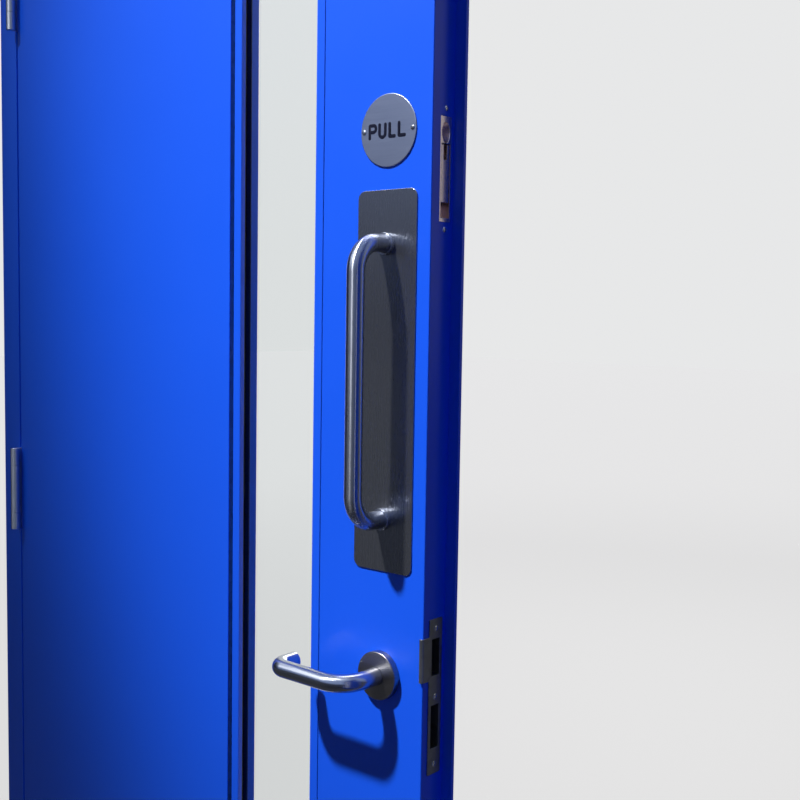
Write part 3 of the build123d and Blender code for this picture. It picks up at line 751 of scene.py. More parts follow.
class ShapeTrees:
    """Geometry Nodes trees: bent bars, stroked letters and rows of screws."""

    ball_rings: int = 8

    def __init__(self) -> None:
        """Builds the trees."""
        self.inputs: dict[str, dict[str, str]] = {}
        self.bent_bar = self._bar("bent_bar", round_ends=False)
        self.letter_strokes = self._bar("letter_strokes", round_ends=True)
        self.screws = self._screws()

    def _start(self, name: str,
               wanted: Sequence[tuple[str, str, object]]) -> tuple[Sketch, Node, Node]:
        """Starts a tree with named inputs.

        Args:
            name: The tree's name.
            wanted: The name, type and first value of each input after the geometry.

        Returns:
            The sketch, its input node and its output node.
        """
        sketch = Sketch(bpy.data.node_groups.new(name, "GeometryNodeTree"))
        sketch.socket("Geometry", "NodeSocketGeometry", output=True)
        sketch.socket("Geometry", "NodeSocketGeometry")
        self.inputs[name] = {label: sketch.socket(label, kind, start)
                             for label, kind, start in wanted}
        return sketch, sketch.node("NodeGroupInput"), sketch.node("NodeGroupOutput")

    def _end(self, sketch: Sketch, given: Node, result: Node, source: Socket) -> None:
        """Ends a tree with smooth shading, real instances and the finish.

        Args:
            sketch: The tree's sketch.
            given: Its input node.
            result: Its output node.
            source: The geometry that is ready.
        """
        smooth = sketch.node("GeometryNodeSetShadeSmooth")
        real = sketch.node("GeometryNodeRealizeInstances")
        finish = sketch.node("GeometryNodeSetMaterial")
        sketch.join(source, real.inputs["Geometry"])
        sketch.join(real.outputs[0], smooth.inputs["Geometry"])
        sketch.join(smooth.outputs[0], finish.inputs["Geometry"])
        sketch.join(given.outputs["Finish"], finish.inputs["Material"])
        sketch.join(finish.outputs[0], result.inputs[0])

    def _bar(self, name: str, round_ends: bool) -> NodeTree:
        """A round bar that follows the edges of a mesh, with each corner bent to its own radius.

        Args:
            name: The tree's name.
            round_ends: True for a ball at each end of the bar, False for flat caps alone.

        Returns:
            The tree.
        """
        wanted = (
            ("Radius", "NodeSocketFloat", 0.01),
            ("Steps in a Bend", "NodeSocketInt", 16),
            ("Sides", "NodeSocketInt", 48),
            ("Finish", "NodeSocketMaterial", None),
        )
        sketch, given, result = self._start(name, wanted)
        line = sketch.node("GeometryNodeMeshToCurve")
        bend = sketch.node("GeometryNodeInputNamedAttribute", data_type="FLOAT")
        bend.inputs["Name"].default_value = "bend"
        rounded = sketch.node("GeometryNodeFilletCurve", mode="POLY")
        rounded.inputs["Limit Radius"].default_value = True
        even = sketch.node("GeometryNodeSetCurveRadius")
        even.inputs["Radius"].default_value = 1.0
        ring = sketch.node("GeometryNodeCurvePrimitiveCircle", mode="RADIUS")
        bar = sketch.node("GeometryNodeCurveToMesh")
        bar.inputs["Fill Caps"].default_value = True
        sketch.join(given.outputs["Geometry"], line.inputs["Mesh"])
        sketch.join(line.outputs[0], rounded.inputs["Curve"])
        sketch.join(bend.outputs[0], rounded.inputs["Radius"])
        sketch.join(given.outputs["Steps in a Bend"], rounded.inputs["Count"])
        sketch.join(rounded.outputs[0], even.inputs["Curve"])
        sketch.join(even.outputs[0], bar.inputs["Curve"])
        sketch.join(given.outputs["Radius"], ring.inputs["Radius"])
        sketch.join(given.outputs["Sides"], ring.inputs["Resolution"])
        sketch.join(ring.outputs["Curve"], bar.inputs["Profile Curve"])
        ready = bar.outputs[0]
        if round_ends:
            ball = sketch.node("GeometryNodeMeshUVSphere")
            ball.inputs["Rings"].default_value = self.ball_rings
            ends = sketch.node("GeometryNodeInstanceOnPoints")
            both = sketch.node("GeometryNodeJoinGeometry")
            sketch.join(given.outputs["Radius"], ball.inputs["Radius"])
            sketch.join(given.outputs["Sides"], ball.inputs["Segments"])
            sketch.join(even.outputs[0], ends.inputs["Points"])
            at_ends = sketch.node("GeometryNodeCurveEndpointSelection")
            sketch.join(at_ends.outputs[0], ends.inputs["Selection"])
            sketch.join(ball.outputs["Mesh"], ends.inputs["Instance"])
            sketch.join(bar.outputs[0], both.inputs[0])
            sketch.join(ends.outputs[0], both.inputs[0])
            ready = both.outputs[0]
        self._end(sketch, given, result, ready)
        return sketch.tree

    def _screws(self) -> NodeTree:
        """One screw head on every point of a mesh, each turned by its own amount.

        Returns:
            The tree.
        """
        wanted = (
            ("Head", "NodeSocketObject", None),
            ("Aim", "NodeSocketVector", (0.0, -1.0, 0.0)),
            ("Turning Seed", "NodeSocketInt", 7),
            ("Finish", "NodeSocketMaterial", None),
        )
        sketch, given, result = self._start("screw_heads", wanted)
        head = sketch.node("GeometryNodeObjectInfo")
        aim = sketch.node("FunctionNodeAlignRotationToVector", axis="Z")
        turn = sketch.node("FunctionNodeRandomValue", data_type="FLOAT")
        turn.inputs[RANDOM_MOST].default_value = math.pi
        spin = sketch.node("ShaderNodeCombineXYZ")
        points = sketch.node("GeometryNodeInstanceOnPoints")
        turned = sketch.node("GeometryNodeRotateInstances")
        sketch.join(given.outputs["Head"], head.inputs["Object"])
        sketch.join(given.outputs["Aim"], aim.inputs["Vector"])
        sketch.join(given.outputs["Turning Seed"], turn.inputs["Seed"])
        sketch.join(turn.outputs[RANDOM_RESULT], spin.inputs["Z"])
        sketch.join(given.outputs["Geometry"], points.inputs["Points"])
        sketch.join(head.outputs["Geometry"], points.inputs["Instance"])
        sketch.join(aim.outputs[0], points.inputs["Rotation"])
        sketch.join(points.outputs[0], turned.inputs["Instances"])
        sketch.join(spin.outputs[0], turned.inputs["Rotation"])
        self._end(sketch, given, result, turned.outputs[0])
        return sketch.tree


# Pieces

class Bench:
    """Makes pieces, gives them their finish and hands them to the frame."""

    merge_gap: float = 2e-6
    stray_edge: float = 1e-6
    flat_angle: float = math.radians(0.6)
    eased_angle: float = math.radians(38)
    face_weight: int = 90
    bar_steps: int = 18
    letter_steps: int = 10
    rim_steps: int = 3
    rim_angle: float = math.radians(60)
    screw_angle: float = math.radians(32)

    def __init__(self, palette: Palette, trees: ShapeTrees) -> None:
        """Keeps the finishes and trees, and reads which slot each node's finish comes from.

        Args:
            palette: The finishes.
            trees: The Geometry Nodes trees.
        """
        self.palette = palette
        self.trees = trees
        self.slots = {row["node"]: row["material_slot"] for row in frame["record"]["subparts"]}
        self.count = 0

    def _settle(self, made: Piece) -> Piece:
        """Turns an object with modifiers into one with a plain mesh.

        Args:
            made: The object.

        Returns:
            The same object, with the finished mesh and no modifiers.
        """
        graph = bpy.context.evaluated_depsgraph_get()
        shape = made.evaluated_get(graph)
        mesh = bpy.data.meshes.new_from_object(shape, preserve_all_data_layers=True,
                                               depsgraph=graph)
        made.modifiers.clear()
        made.data = mesh
        mesh.name = made.name
        finishes = [material for material in mesh.materials if material]
        if len(finishes) < len(mesh.materials):
            mesh.materials.clear()
            mesh.materials.append(finishes[0])
            mesh.polygons.foreach_set("material_index", [0] * len(mesh.polygons))
        return made

    def give(self, made: Piece, body: str, slot: str, nodes: Sequence[str] = ()) -> Piece:
        """Makes a piece ride on a body and stand for CAD nodes.

        Args:
            made: The piece.
            body: The body that it rides on.
            slot: Not used.
            nodes: The CAD nodes that it stands for.

        Returns:
            The piece.
        """
        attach(made, body)
        if nodes:
            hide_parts(*nodes)
        self.count += 1
        return made

    def finish_node(self, node: str, finish: str = "") -> None:
        """Gives a CAD node its finish.

        Args:
            node: The node's name.
            finish: The finish, or nothing for the one named as its slot.
        """
        made = frame["nodes"][node]
        made.data.materials.clear()
        made.data.materials.append(self.palette[finish or self.slots[node]])
        self.count += 1

    def dress(self, node: str, edge: float, finish: str = "", steps: int = 2) -> Piece:
        """Makes a copy of a CAD node with eased edges, which then stands for it.

        Args:
            node: The node's name.
            edge: The width of the eased edges, in millimetres.
            finish: The finish, or nothing for the one named as its slot.
            steps: The number of faces across an eased edge.

        Returns:
            The piece.
        """
        source = frame["nodes"][node]
        shape = bmesh.new()
        shape.from_mesh(source.data)
        bmesh.ops.remove_doubles(shape, verts=shape.verts, dist=self.merge_gap)
        bmesh.ops.dissolve_degenerate(shape, edges=shape.edges, dist=self.stray_edge)
        bmesh.ops.dissolve_limit(shape, angle_limit=self.flat_angle, verts=shape.verts,
                                 edges=shape.edges)
        for face in shape.faces:
            face.smooth = True
        mesh = drawn(node, shape)
        for layer in [a.name for a in mesh.attributes if a.name == "custom_normal"]:
            mesh.attributes.remove(mesh.attributes[layer])
        mesh.materials.clear()
        mesh.materials.append(self.palette[finish or self.slots[node]])
        made = put(f"{node}_dressed", mesh)
        eased = made.modifiers.new("eased edges", "BEVEL")
        eased.width = edge * MM
        eased.segments = steps
        eased.limit_method = "ANGLE"
        eased.angle_limit = self.eased_angle
        eased.use_clamp_overlap = False
        flat = made.modifiers.new("flat faces stay flat", "WEIGHTED_NORMAL")
        flat.mode = "FACE_AREA"
        flat.weight = self.face_weight
        self._settle(made)
        return self.give(made, source["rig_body"], self.slots[node], (node,))

    def _set_inputs(self, modifier: bpy.types.Modifier, values: dict[str, object]) -> None:
        """Sets a Geometry Nodes modifier's inputs by their identifiers.

        Args:
            modifier: The modifier.
            values: The inputs' values by name.
        """
        names = self.trees.inputs[modifier.node_group.name]
        for label, value in values.items():
            modifier[names[label]] = value

    def bar(self, name: str, runs: Sequence[Run], radius: float, finish: str,
            letters: bool = False, sides: int = 48, edge: float = 0.0) -> Piece:
        """Makes round bars through corner points.

        Args:
            name: The piece's name.
            runs: For each bar, its corner points in metres, each with its bend radius.
            radius: The bar's radius, in metres.
            finish: The finish.
            letters: True for strokes with round ends.
            sides: The number of faces round the bar.
            edge: The width of the eased rim of the end caps, in millimetres, or 0 for none.

        Returns:
            The bare piece, not yet handed over.
        """
        points: list[Point] = []
        edges: list[tuple[int, int]] = []
        for run in runs:
            first = len(points)
            points += [point for point, _ in run]
            edges += [(i, i + 1) for i in range(first, len(points) - 1)]
        mesh = bpy.data.meshes.new(name)
        mesh.from_pydata(points, edges, [])
        bends = mesh.attributes.new("bend", "FLOAT", "POINT")
        bends.data.foreach_set("value", [bend for run in runs for _, bend in run])
        made = put(name, mesh)
        modifier = made.modifiers.new("bar", "NODES")
        modifier.node_group = self.trees.letter_strokes if letters else self.trees.bent_bar
        self._set_inputs(modifier, {
            "Radius": radius,
            "Steps in a Bend": self.letter_steps if letters else self.bar_steps,
            "Sides": sides,
            "Finish": self.palette[finish],
        })
        if edge:
            rim = made.modifiers.new("rim", "BEVEL")
            rim.width = edge * MM
            rim.segments = self.rim_steps
            rim.limit_method = "ANGLE"
            rim.angle_limit = self.rim_angle
            flat = made.modifiers.new("flat caps", "WEIGHTED_NORMAL")
            flat.mode = "FACE_AREA"
        return self._settle(made)

    def screws(self, name: str, body: str, points: Sequence[Point], aim: Point,
               head: "ScrewHead", seed: int) -> Piece:
        """Puts a screw head on each of several points.

        Args:
            name: The piece's name.
            body: The body that the screws ride on.
            points: Where the heads lie, in metres.
            aim: The way they face.
            head: The head's shape.
            seed: The number that sets how each head is turned.

        Returns:
            The piece.
        """
        mesh = bpy.data.meshes.new(name)
        mesh.from_pydata(list(points), [], [])
        made = put(name, mesh)
        pattern = put(f"{name}_pattern", head.mesh())
        modifier = made.modifiers.new("screws", "NODES")
        modifier.node_group = self.trees.screws
        self._set_inputs(modifier, {
            "Head": pattern,
            "Aim": aim,
            "Turning Seed": seed,
            "Finish": self.palette["screw_steel"],
        })
        self._settle(made)
        bpy.data.objects.remove(pattern)
        made.data.set_sharp_from_angle(angle=self.screw_angle)
        return self.give(made, body, "satin_steel")


@dataclass(frozen=True)
class ScrewHead:
    """A low domed screw head with a slot or a cross, drawn along +Z from its seat."""

    radius: float
    rise: float
    drive: Drive
    slot_width: float = 0.9
    slot_depth: float = 0.6
    facets: int = 28
    first_turn: float = 0.03
    profile: tuple[Span, ...] = (
        (1.0, -0.4), (1.0, 0.15), (0.93, 0.45), (0.78, 0.72), (0.52, 0.92), (0.2, 1.0),
    )

    def _dome(self) -> bmesh.types.BMesh:
        """Draws the closed dome as rings.

        Returns:
            The dome, in metres.
        """
        shape = bmesh.new()
        turns = [2 * math.pi * i / self.facets for i in range(self.facets)]
        loops = []
        for share, height in self.profile:
            reach, level = self.radius * share, self.rise * height
            loops.append([
                shape.verts.new(Vector((reach * math.cos(a), reach * math.sin(a), level)) * MM)
                for a in turns
            ])
        for low, high in zip(loops, loops[1:]):
            for i in range(self.facets):
                after = (i + 1) % self.facets
                shape.faces.new((low[i], low[after], high[after], high[i]))
        shape.faces.new(loops[-1])
        shape.faces.new(list(reversed(loops[0])))
        return shape

    def _cutter(self, turn: float, reach: float) -> Piece:
        """Draws a bar that cuts one slot.

        Args:
            turn: How far the slot is turned, in radians.
            reach: The slot's length per head radius.

        Returns:
            The cutting bar.
        """
        size = (reach * self.radius * MM, self.slot_width * MM, 2 * self.slot_depth * MM, 1.0)
        lift = Matrix.Translation((0.0, 0.0, self.rise * MM))
        place = lift @ Matrix.Rotation(turn, 4, "Z") @ Matrix.Diagonal(size)
        shape = bmesh.new()
        bmesh.ops.create_cube(shape, size=1.0, matrix=place)
        return put("slot", drawn("slot", shape))

    def mesh(self) -> Mesh:
        """Draws the head with its recess cut.

        Returns:
            The head's mesh.
        """
        made = put("head", drawn("head", self._dome()))
        slots, reach = self.drive.value
        cutters = [self._cutter(i * math.pi / 2 + self.first_turn, reach) for i in range(slots)]
        for cutter in cutters:
            cut = made.modifiers.new("slot", "BOOLEAN")
            cut.operation = "DIFFERENCE"
            cut.solver = "EXACT"
            cut.object = cutter
        bpy.context.view_layer.update()
        graph = bpy.context.evaluated_depsgraph_get()
        ready = bpy.data.meshes.new_from_object(made.evaluated_get(graph))
        for spare in [made, *cutters]:
            bpy.data.objects.remove(spare)
        return ready


@dataclass(frozen=True)
class LeafPlace:
    """Turns a leaf's own millimetres into the door set's metres.

    The left leaf is shut, and the right one stands open.
    """

    side: Side
    edge_line: float = 1.5
    front_line: float = 55.0
    open_front: float = 750.0
    open_edge: float = 820.5
    thickness: float = 40.0

    def point(self, x: float, y: float, z: float, face: Face = Face.FRONT) -> Point:
        """Places a point.

        Args:
            x: The distance from the meeting edge, negative into the leaf.
            y: The depth behind the front face, negative in front of it.
            z: The height.
            face: The face that the depth is counted from.

        Returns:
            The place in metres.
        """
        if face is Face.BACK:
            y = self.thickness - y
        if self.side is Side.LEFT:
            return ((x - self.edge_line) * MM, (y - self.front_line) * MM, z * MM)
        return ((self.open_front - y) * MM, (-self.open_edge - x) * MM, z * MM)

    def way(self, x: float, y: float, z: float) -> Point:
        """Turns a direction of the leaf into one of the door set.

        Args:
            x: Its part towards the meeting edge.
            y: Its part towards the back face.
            z: Its part upwards.

        Returns:
            The direction.
        """
        if self.side is Side.LEFT:
            return (x, y, z)
        return (-y, -x, z)

    @property
    def body(self) -> str:
        """The leaf's body."""
        return f"{self.side.value}_leaf"

    def node(self, name: str) -> str:
        """The leaf's own name for a node."""
        return f"{self.side.value}_{name}"


# Sub-assemblies

@dataclass
class FrameSet:
    """The folded frame with its threshold, seal, straps, keeper and floor socket."""

    bench: Bench
    fold_edge: float = 0.35
    threshold_edge: float = 0.6
    keeper_edge: float = 0.3
    socket_edge: float = 0.25
    keeper_screw_y: float = -32.5
    keeper_height: float = 2058.5
    keeper_screws: Span = (-54.5, -8.0)
    head: ScrewHead = ScrewHead(3.2, 0.7, Drive.CROSS)

    def build(self) -> None:
        """Makes every piece of the frame."""
        for node in ("left_jamb", "right_jamb", "frame_head"):
            self.bench.dress(node, self.fold_edge)
        self.bench.dress("threshold", self.threshold_edge)
        self.bench.dress("head_keeper", self.keeper_edge)
        self.bench.dress("floor_socket", self.socket_edge)
        self.bench.finish_node("frame_seal")
        self.bench.finish_node("wall_anchors")
        points = [(x * MM, self.keeper_screw_y * MM, self.keeper_height * MM)
                  for x in self.keeper_screws]
        self.bench.screws("keeper_screws", "frame", points, (0.0, 0.0, -1.0), self.head, seed=3)


@dataclass
class Hinges:
    """Three knuckle hinges on each side, with their plates and screws."""

    bench: Bench
    edge: float = 0.3
    finish: str = "hinge_steel"
    heights: tuple[float, ...] = (240.0, 1122.6, 1834.7)
    screw_steps: tuple[float, ...] = (-44.0, -15.0, 15.0, 44.0)
    stagger: float = 4.5
    plate_middle: float = -38.5
    frame_plate: float = 758.6
    leaf_plate_face: float = -755.0
    plate_thickness: float = 1.4
    plate_line: float = 16.0
    screw_seat: float = 0.12
    head: ScrewHead = ScrewHead(3.4, 0.16, Drive.CROSS, slot_depth=0.3)

    def build(self) -> None:
        """Makes the plates, pins and screws."""
        self.bench.dress("hinge_frame_leaves", self.edge, self.finish)
        self.bench.finish_node("hinge_pins", self.finish)
        for side in Side:
            self.bench.dress(f"{side.value}_hinge_leaves", self.edge, self.finish)
            self._frame_screws(side)
            self._leaf_screws(side)

    def _rows(self) -> list[tuple[float, float]]:
        """Works out where the screws of all the plates sit.

        Returns:
            Each screw's height and its shift to one side of the plate's middle.
        """
        rows = []
        for middle in self.heights:
            for i, step in enumerate(self.screw_steps):
                rows.append((middle + step, self.stagger if i % 2 else -self.stagger))
        return rows

    def _frame_screws(self, side: Side) -> None:
        """Puts the screws in the plates on one jamb.

        Args:
            side: The jamb's side.
        """
        way = -1.0 if side is Side.LEFT else 1.0
        across = way * (self.frame_plate + self.screw_seat) * MM
        points = [(across, (self.plate_middle + shift) * MM, z * MM) for z, shift in self._rows()]
        name = f"{side.value}_jamb_hinge_screws"
        self.bench.screws(name, "frame", points, (-way, 0.0, 0.0), self.head, seed=11)

    def _leaf_screws(self, side: Side) -> None:
        """Puts the screws in the plates on one leaf.

        Args:
            side: The leaf's side.
        """
        place = LeafPlace(side)
        face = self.leaf_plate_face - self.plate_thickness + self.screw_seat
        points = [place.point(face, self.plate_line + shift, z) for z, shift in self._rows()]
        name = f"{side.value}_leaf_hinge_screws"
        aim = place.way(-1.0, 0.0, 0.0)
        self.bench.screws(name, place.body, points, aim, self.head, seed=17)


@dataclass
class LeafShell:
    """One leaf: its skins, core and vision panel."""

    bench: Bench
    place: LeafPlace
    fold_edge: float = 0.35
    bead_edge: float = 0.7

    def build(self) -> None:
        """Makes the skins, the beads and the glass."""
        for name in ("front_skin", "back_skin"):
            self.bench.dress(self.place.node(name), self.fold_edge)
        for name in ("front_bead", "back_bead"):
            self.bench.dress(self.place.node(name), self.bead_edge)
        for name in ("core", "vision_lining", "glazing_gaskets", "glass"):
            self.bench.finish_node(self.place.node(name))


@dataclass
class LeverSet:
    """The roses, the two bent levers and the spindle of one leaf."""

    bench: Bench
    place: LeafPlace
    tube_radius: float = 9.5
    backset: float = 57.0
    height: float = 1000.0
    root: float = 0.8
    standoff: float = 58.0
    run: float = 102.0
    return_gap: float = 28.0
    elbow: float = 28.0
    return_bend: float = 15.0
    rose_edge: float = 0.5
    end_edge: float = 0.7

    def _corners(self, face: Face) -> list[tuple[Point, float]]:
        """Works out one lever's corners with their bends.

        Args:
            face: The face that the lever is on.

        Returns:
            The corner points in metres, each with its bend radius.
        """
        tip = -self.backset - self.run
        steps = (
            (-self.backset, -self.root, 0.0),
            (-self.backset, -self.standoff, self.elbow),
            (tip, -self.standoff, self.return_bend),
            (tip, -self.return_gap, 0.0),
        )
        return [(self.place.point(x, y, self.height, face), bend * MM) for x, y, bend in steps]

    def build(self) -> None:
        """Makes the roses, the levers and the spindle."""
        self.bench.dress(self.place.node("roses"), self.rose_edge, "rose_steel", steps=3)
        self.bench.finish_node(self.place.node("spindle"), "satin_steel")
        finish = "satin_bar_x" if self.place.side is Side.LEFT else "satin_steel"
        for face in Face:
            node = self.place.node(f"{face.value}_lever")
            lever = self.bench.bar(f"{node}_bar", [self._corners(face)], self.tube_radius * MM,
                                   finish, edge=self.end_edge)
            self.bench.give(lever, f"{self.place.side.value}_lever", "satin_steel", (node,))


@dataclass
class PullSet:
    """The pull plate and its handle with two ferrules."""

    bench: Bench
    place: LeafPlace
    tube_radius: float = 9.5
    line: float = 57.0
    middle: float = 1312.0
    centres: float = 288.4
    plate: float = 1.5
    standoff: float = 48.0
    bend: float = 30.0
    plate_edge: float = 0.45
    ferrule_edge: float = 0.5

    def build(self) -> None:
        """Makes the plate, the ferrules and the handle."""
        self.bench.dress(self.place.node("pull_plate"), self.plate_edge, "plate_steel", steps=3)
        self.bench.dress(self.place.node("pull_ferrules"), self.ferrule_edge, "satin_steel",
                         steps=3)
        low = self.middle - self.centres / 2
        high = self.middle + self.centres / 2
        steps = ((-self.plate, low, 0.0), (-self.standoff, low, self.bend),
                 (-self.standoff, high, self.bend), (-self.plate, high, 0.0))
        corners = [(self.place.point(-self.line, y, z), bend * MM) for y, z, bend in steps]
        node = self.place.node("pull_handle")
        # the handle takes the darker copy of the satin steel, with painted shade in its colour
        handle = self.bench.bar(f"{node}_bar", [corners], self.tube_radius * MM, "satin_bar_z")
        self.bench.give(handle, self.place.body, "satin_steel", (node,))


@dataclass
class Sign:
    """The round sign with its polished rim, its word and two slotted screws."""

    bench: Bench
    place: LeafPlace
    line: float = 57.0
    height: float = 1572.3
    thickness: float = 1.5
    screw_reach: float = 32.8
    stroke: float = 3.7
    half_cap: float = 6.4
    corner: float = 0.7
    bowl: float = 3.4
    bowl_foot: float = -0.4
    cup: float = 3.9
    relief: float = 0.12
    disc_edge: float = 0.8
    word_lift: float = 0.05
    word_sides: int = 24
    head: ScrewHead = ScrewHead(2.6, 1.0, Drive.SLOT, slot_width=0.7)

    def _strokes(self) -> list[list[tuple[float, float, float]]]:
        """Draws the word PULL as centre lines.

        Returns:
            For each stroke, its corners as x and z from the sign's middle, each with a bend radius.
        """
        top, foot, waist = self.half_cap, -self.half_cap, self.bowl_foot
        return [
            [(-25.1, foot, 0.0), (-25.1, top, self.corner), (-16.7, top, self.bowl),
             (-16.7, waist, self.bowl), (-25.1, waist, 0.0)],
            [(-11.7, top, 0.0), (-11.7, foot, self.cup), (-3.8, foot, self.cup),
             (-3.8, top, 0.0)],
            [(2.1, top, 0.0), (2.1, foot, self.corner), (8.7, foot, 0.0)],
            [(14.6, top, 0.0), (14.6, foot, self.corner), (22.1, foot, 0.0)],
        ]

    def build(self) -> None:
        """Makes the disc, the word and the screws."""
        self.bench.dress("left_pull_sign", self.disc_edge, "sign_steel", steps=3)
        face = -self.thickness - self.word_lift
        runs = [[(self.place.point(x - self.line, face, self.height + z), bend * MM)
                 for x, z, bend in stroke] for stroke in self._strokes()]
        word = self.bench.bar("sign_word", runs, self.stroke / 2 * MM, "navy_enamel",
                              letters=True, sides=self.word_sides)
        level = self.place.point(0.0, face, 0.0)[1]
        for vertex in word.data.vertices:
            vertex.co.y = level + (vertex.co.y - level) * self.relief
        self.bench.give(word, self.place.body, "black_rubber")
        points = [self.place.point(x - self.line, -self.thickness, self.height)
                  for x in (-self.screw_reach, self.screw_reach)]
        self.bench.screws("sign_screws", self.place.body, points, (0.0, -1.0, 0.0), self.head,
                          seed=5)


@dataclass
class FlushBolts:
    """The two lever bolts in the left leaf's edge."""

    bench: Bench
    place: LeafPlace
    edge: float = 0.35
    heights: Span = (546.0, 1531.2)
    screw_reach: float = 60.85
    line: float = 22.5
    head: ScrewHead = ScrewHead(3.0, 0.8, Drive.CROSS, slot_width=0.8)

    def build(self) -> None:
        """Makes the cases, levers, rods and screws."""
        for end in ("lower", "upper"):
            self.bench.dress(f"left_{end}_bolt_case", self.edge, "bolt_steel")
            self.bench.dress(f"left_{end}_bolt_lever", self.edge, "bolt_steel")
            self.bench.finish_node(f"left_{end}_bolt_rod")
        points = [self.place.point(0.0, self.line, middle + reach)
                  for middle in self.heights for reach in (-self.screw_reach, self.screw_reach)]
        self.bench.screws("flush_bolt_screws", self.place.body, points, (1.0, 0.0, 0.0),
                          self.head, seed=23)


@dataclass
class Strike:
    """The strike plate with its wrapped lip, the box behind it and three screws."""

    bench: Bench
    place: LeafPlace
    middle: float = 984.5
    screw_reach: float = 72.7
    line: float = 19.5
    sheet: float = 1.5
    edge: float = 0.3
    head: ScrewHead = ScrewHead(3.0, 0.45, Drive.CROSS, slot_width=0.8)

    def build(self) -> None:
        """Makes the plate, the box and the screws."""
        self.bench.dress("left_strike_plate", self.edge)
        self.bench.finish_node("left_strike_box")
        points = [self.place.point(self.sheet, self.line, self.middle + reach)
                  for reach in (-self.screw_reach, 0.0, self.screw_reach)]
        self.bench.screws("strike_screws", self.place.body, points, (1.0, 0.0, 0.0), self.head,
                          seed=29)


@dataclass
class MortiseLock:
    """The lock in the right leaf with its forend, bolts, cylinder and thumb-turn."""

    bench: Bench
    place: LeafPlace
    screws: Span = (876.5, 1092.5)
    line: float = 19.5
    plate_edge: float = 0.3
    bolt_edge: float = 0.4
    rose_edge: float = 0.4
    turn_edge: float = 0.5
    head: ScrewHead = ScrewHead(3.4, 0.25, Drive.CROSS)

    def build(self) -> None:
        """Makes every piece of the lock."""
        self.bench.finish_node("right_lock_case")
        self.bench.dress("right_forend", self.plate_edge, "satin_steel")
        self.bench.dress("right_latch_bolt", self.bolt_edge)
        self.bench.dress("right_deadbolt", self.bolt_edge, "satin_steel")
        self.bench.dress("right_lock_cylinder", self.plate_edge)
        self.bench.dress("right_escutcheons", self.rose_edge, "rose_steel", steps=3)
        self.bench.dress("right_thumb_turn", self.turn_edge, "satin_steel", steps=3)
        points = [self.place.point(0.0, self.line, z) for z in self.screws]
        aim = self.place.way(1.0, 0.0, 0.0)
        self.bench.screws("forend_screws", self.place.body, points, aim, self.head, seed=31)


# Studio

@dataclass(frozen=True)
class Lamp:
    """One lamp: where it stands, what it points at and how bright it is."""

    name: str
    place: Point
    target: Point
    watts: float
    size: float
    cone: float = 0.0
    mirrored: bool = True

    def light(self) -> None:
        """Puts the lamp in the scene: a spot where it has a cone, or else a square soft light."""
        data = bpy.data.lights.new(self.name, "SPOT" if self.cone else "AREA")
        data.energy = self.watts
        if self.cone:
            data.spot_size = math.radians(self.cone)
            data.spot_blend = 1.0
            data.shadow_soft_size = self.size
        else:
            data.size = self.size
        made = put(self.name, data)
        made.visible_glossy = self.mirrored
        made.visible_transmission = self.mirrored
        made.location = self.place
        ahead = Vector(self.target) - Vector(self.place)
        made.rotation_euler = ahead.to_track_quat("-Z", "Y").to_euler()


@dataclass(frozen=True)
class FloorLook:
    """The pale floor.

    The base colour takes the lamps' light and the shadow, and the glow makes it pale to the
    eye. What metal mirrors of it has a darker base and a faint glow of its own.
    """

    half: float = 30.0
    squares: int = 8
    dullness: float = 0.7
    base: Colour = (0.13, 0.13, 0.127)
    mirrored_base: Colour = (0.012, 0.012, 0.014)
    tint: Colour = (1.0, 0.992, 0.984)
    glow: Span = (0.64, 0.738)
    glow_reach: Span = (1.0, 9.0)
    mirrored_glow: Span = (0.012, 0.042)
    mirrored_reach: Span = (-1.6, -0.2)


@dataclass(frozen=True)
class RoomLook:
    """The surroundings: what the eye sees, what lights the shadows and what metal mirrors.

    Each span is where a part begins and where it is whole, along one axis of the direction.
    """

    seen: Colour = (0.80, 0.805, 0.81)
    ambient: Colour = (0.095, 0.10, 0.115)
    dark: Colour = (0.020, 0.022, 0.035)
    sky: Colour = (0.31, 0.40, 0.64)
    sky_span: Span = (-0.02, 0.30)
    left_dark_span: Span = (-0.72, -0.90)
    right_dark_span: Span = (0.80, 0.98)
    window: Colour = (1.9, 2.0, 2.2)
    window_way: Point = (-0.545, -0.600, 0.585)
    window_span: Span = (0.958, 0.984)
    behind: Colour = (0.42, 0.43, 0.46)
    behind_span: Span = (0.35, 0.68)


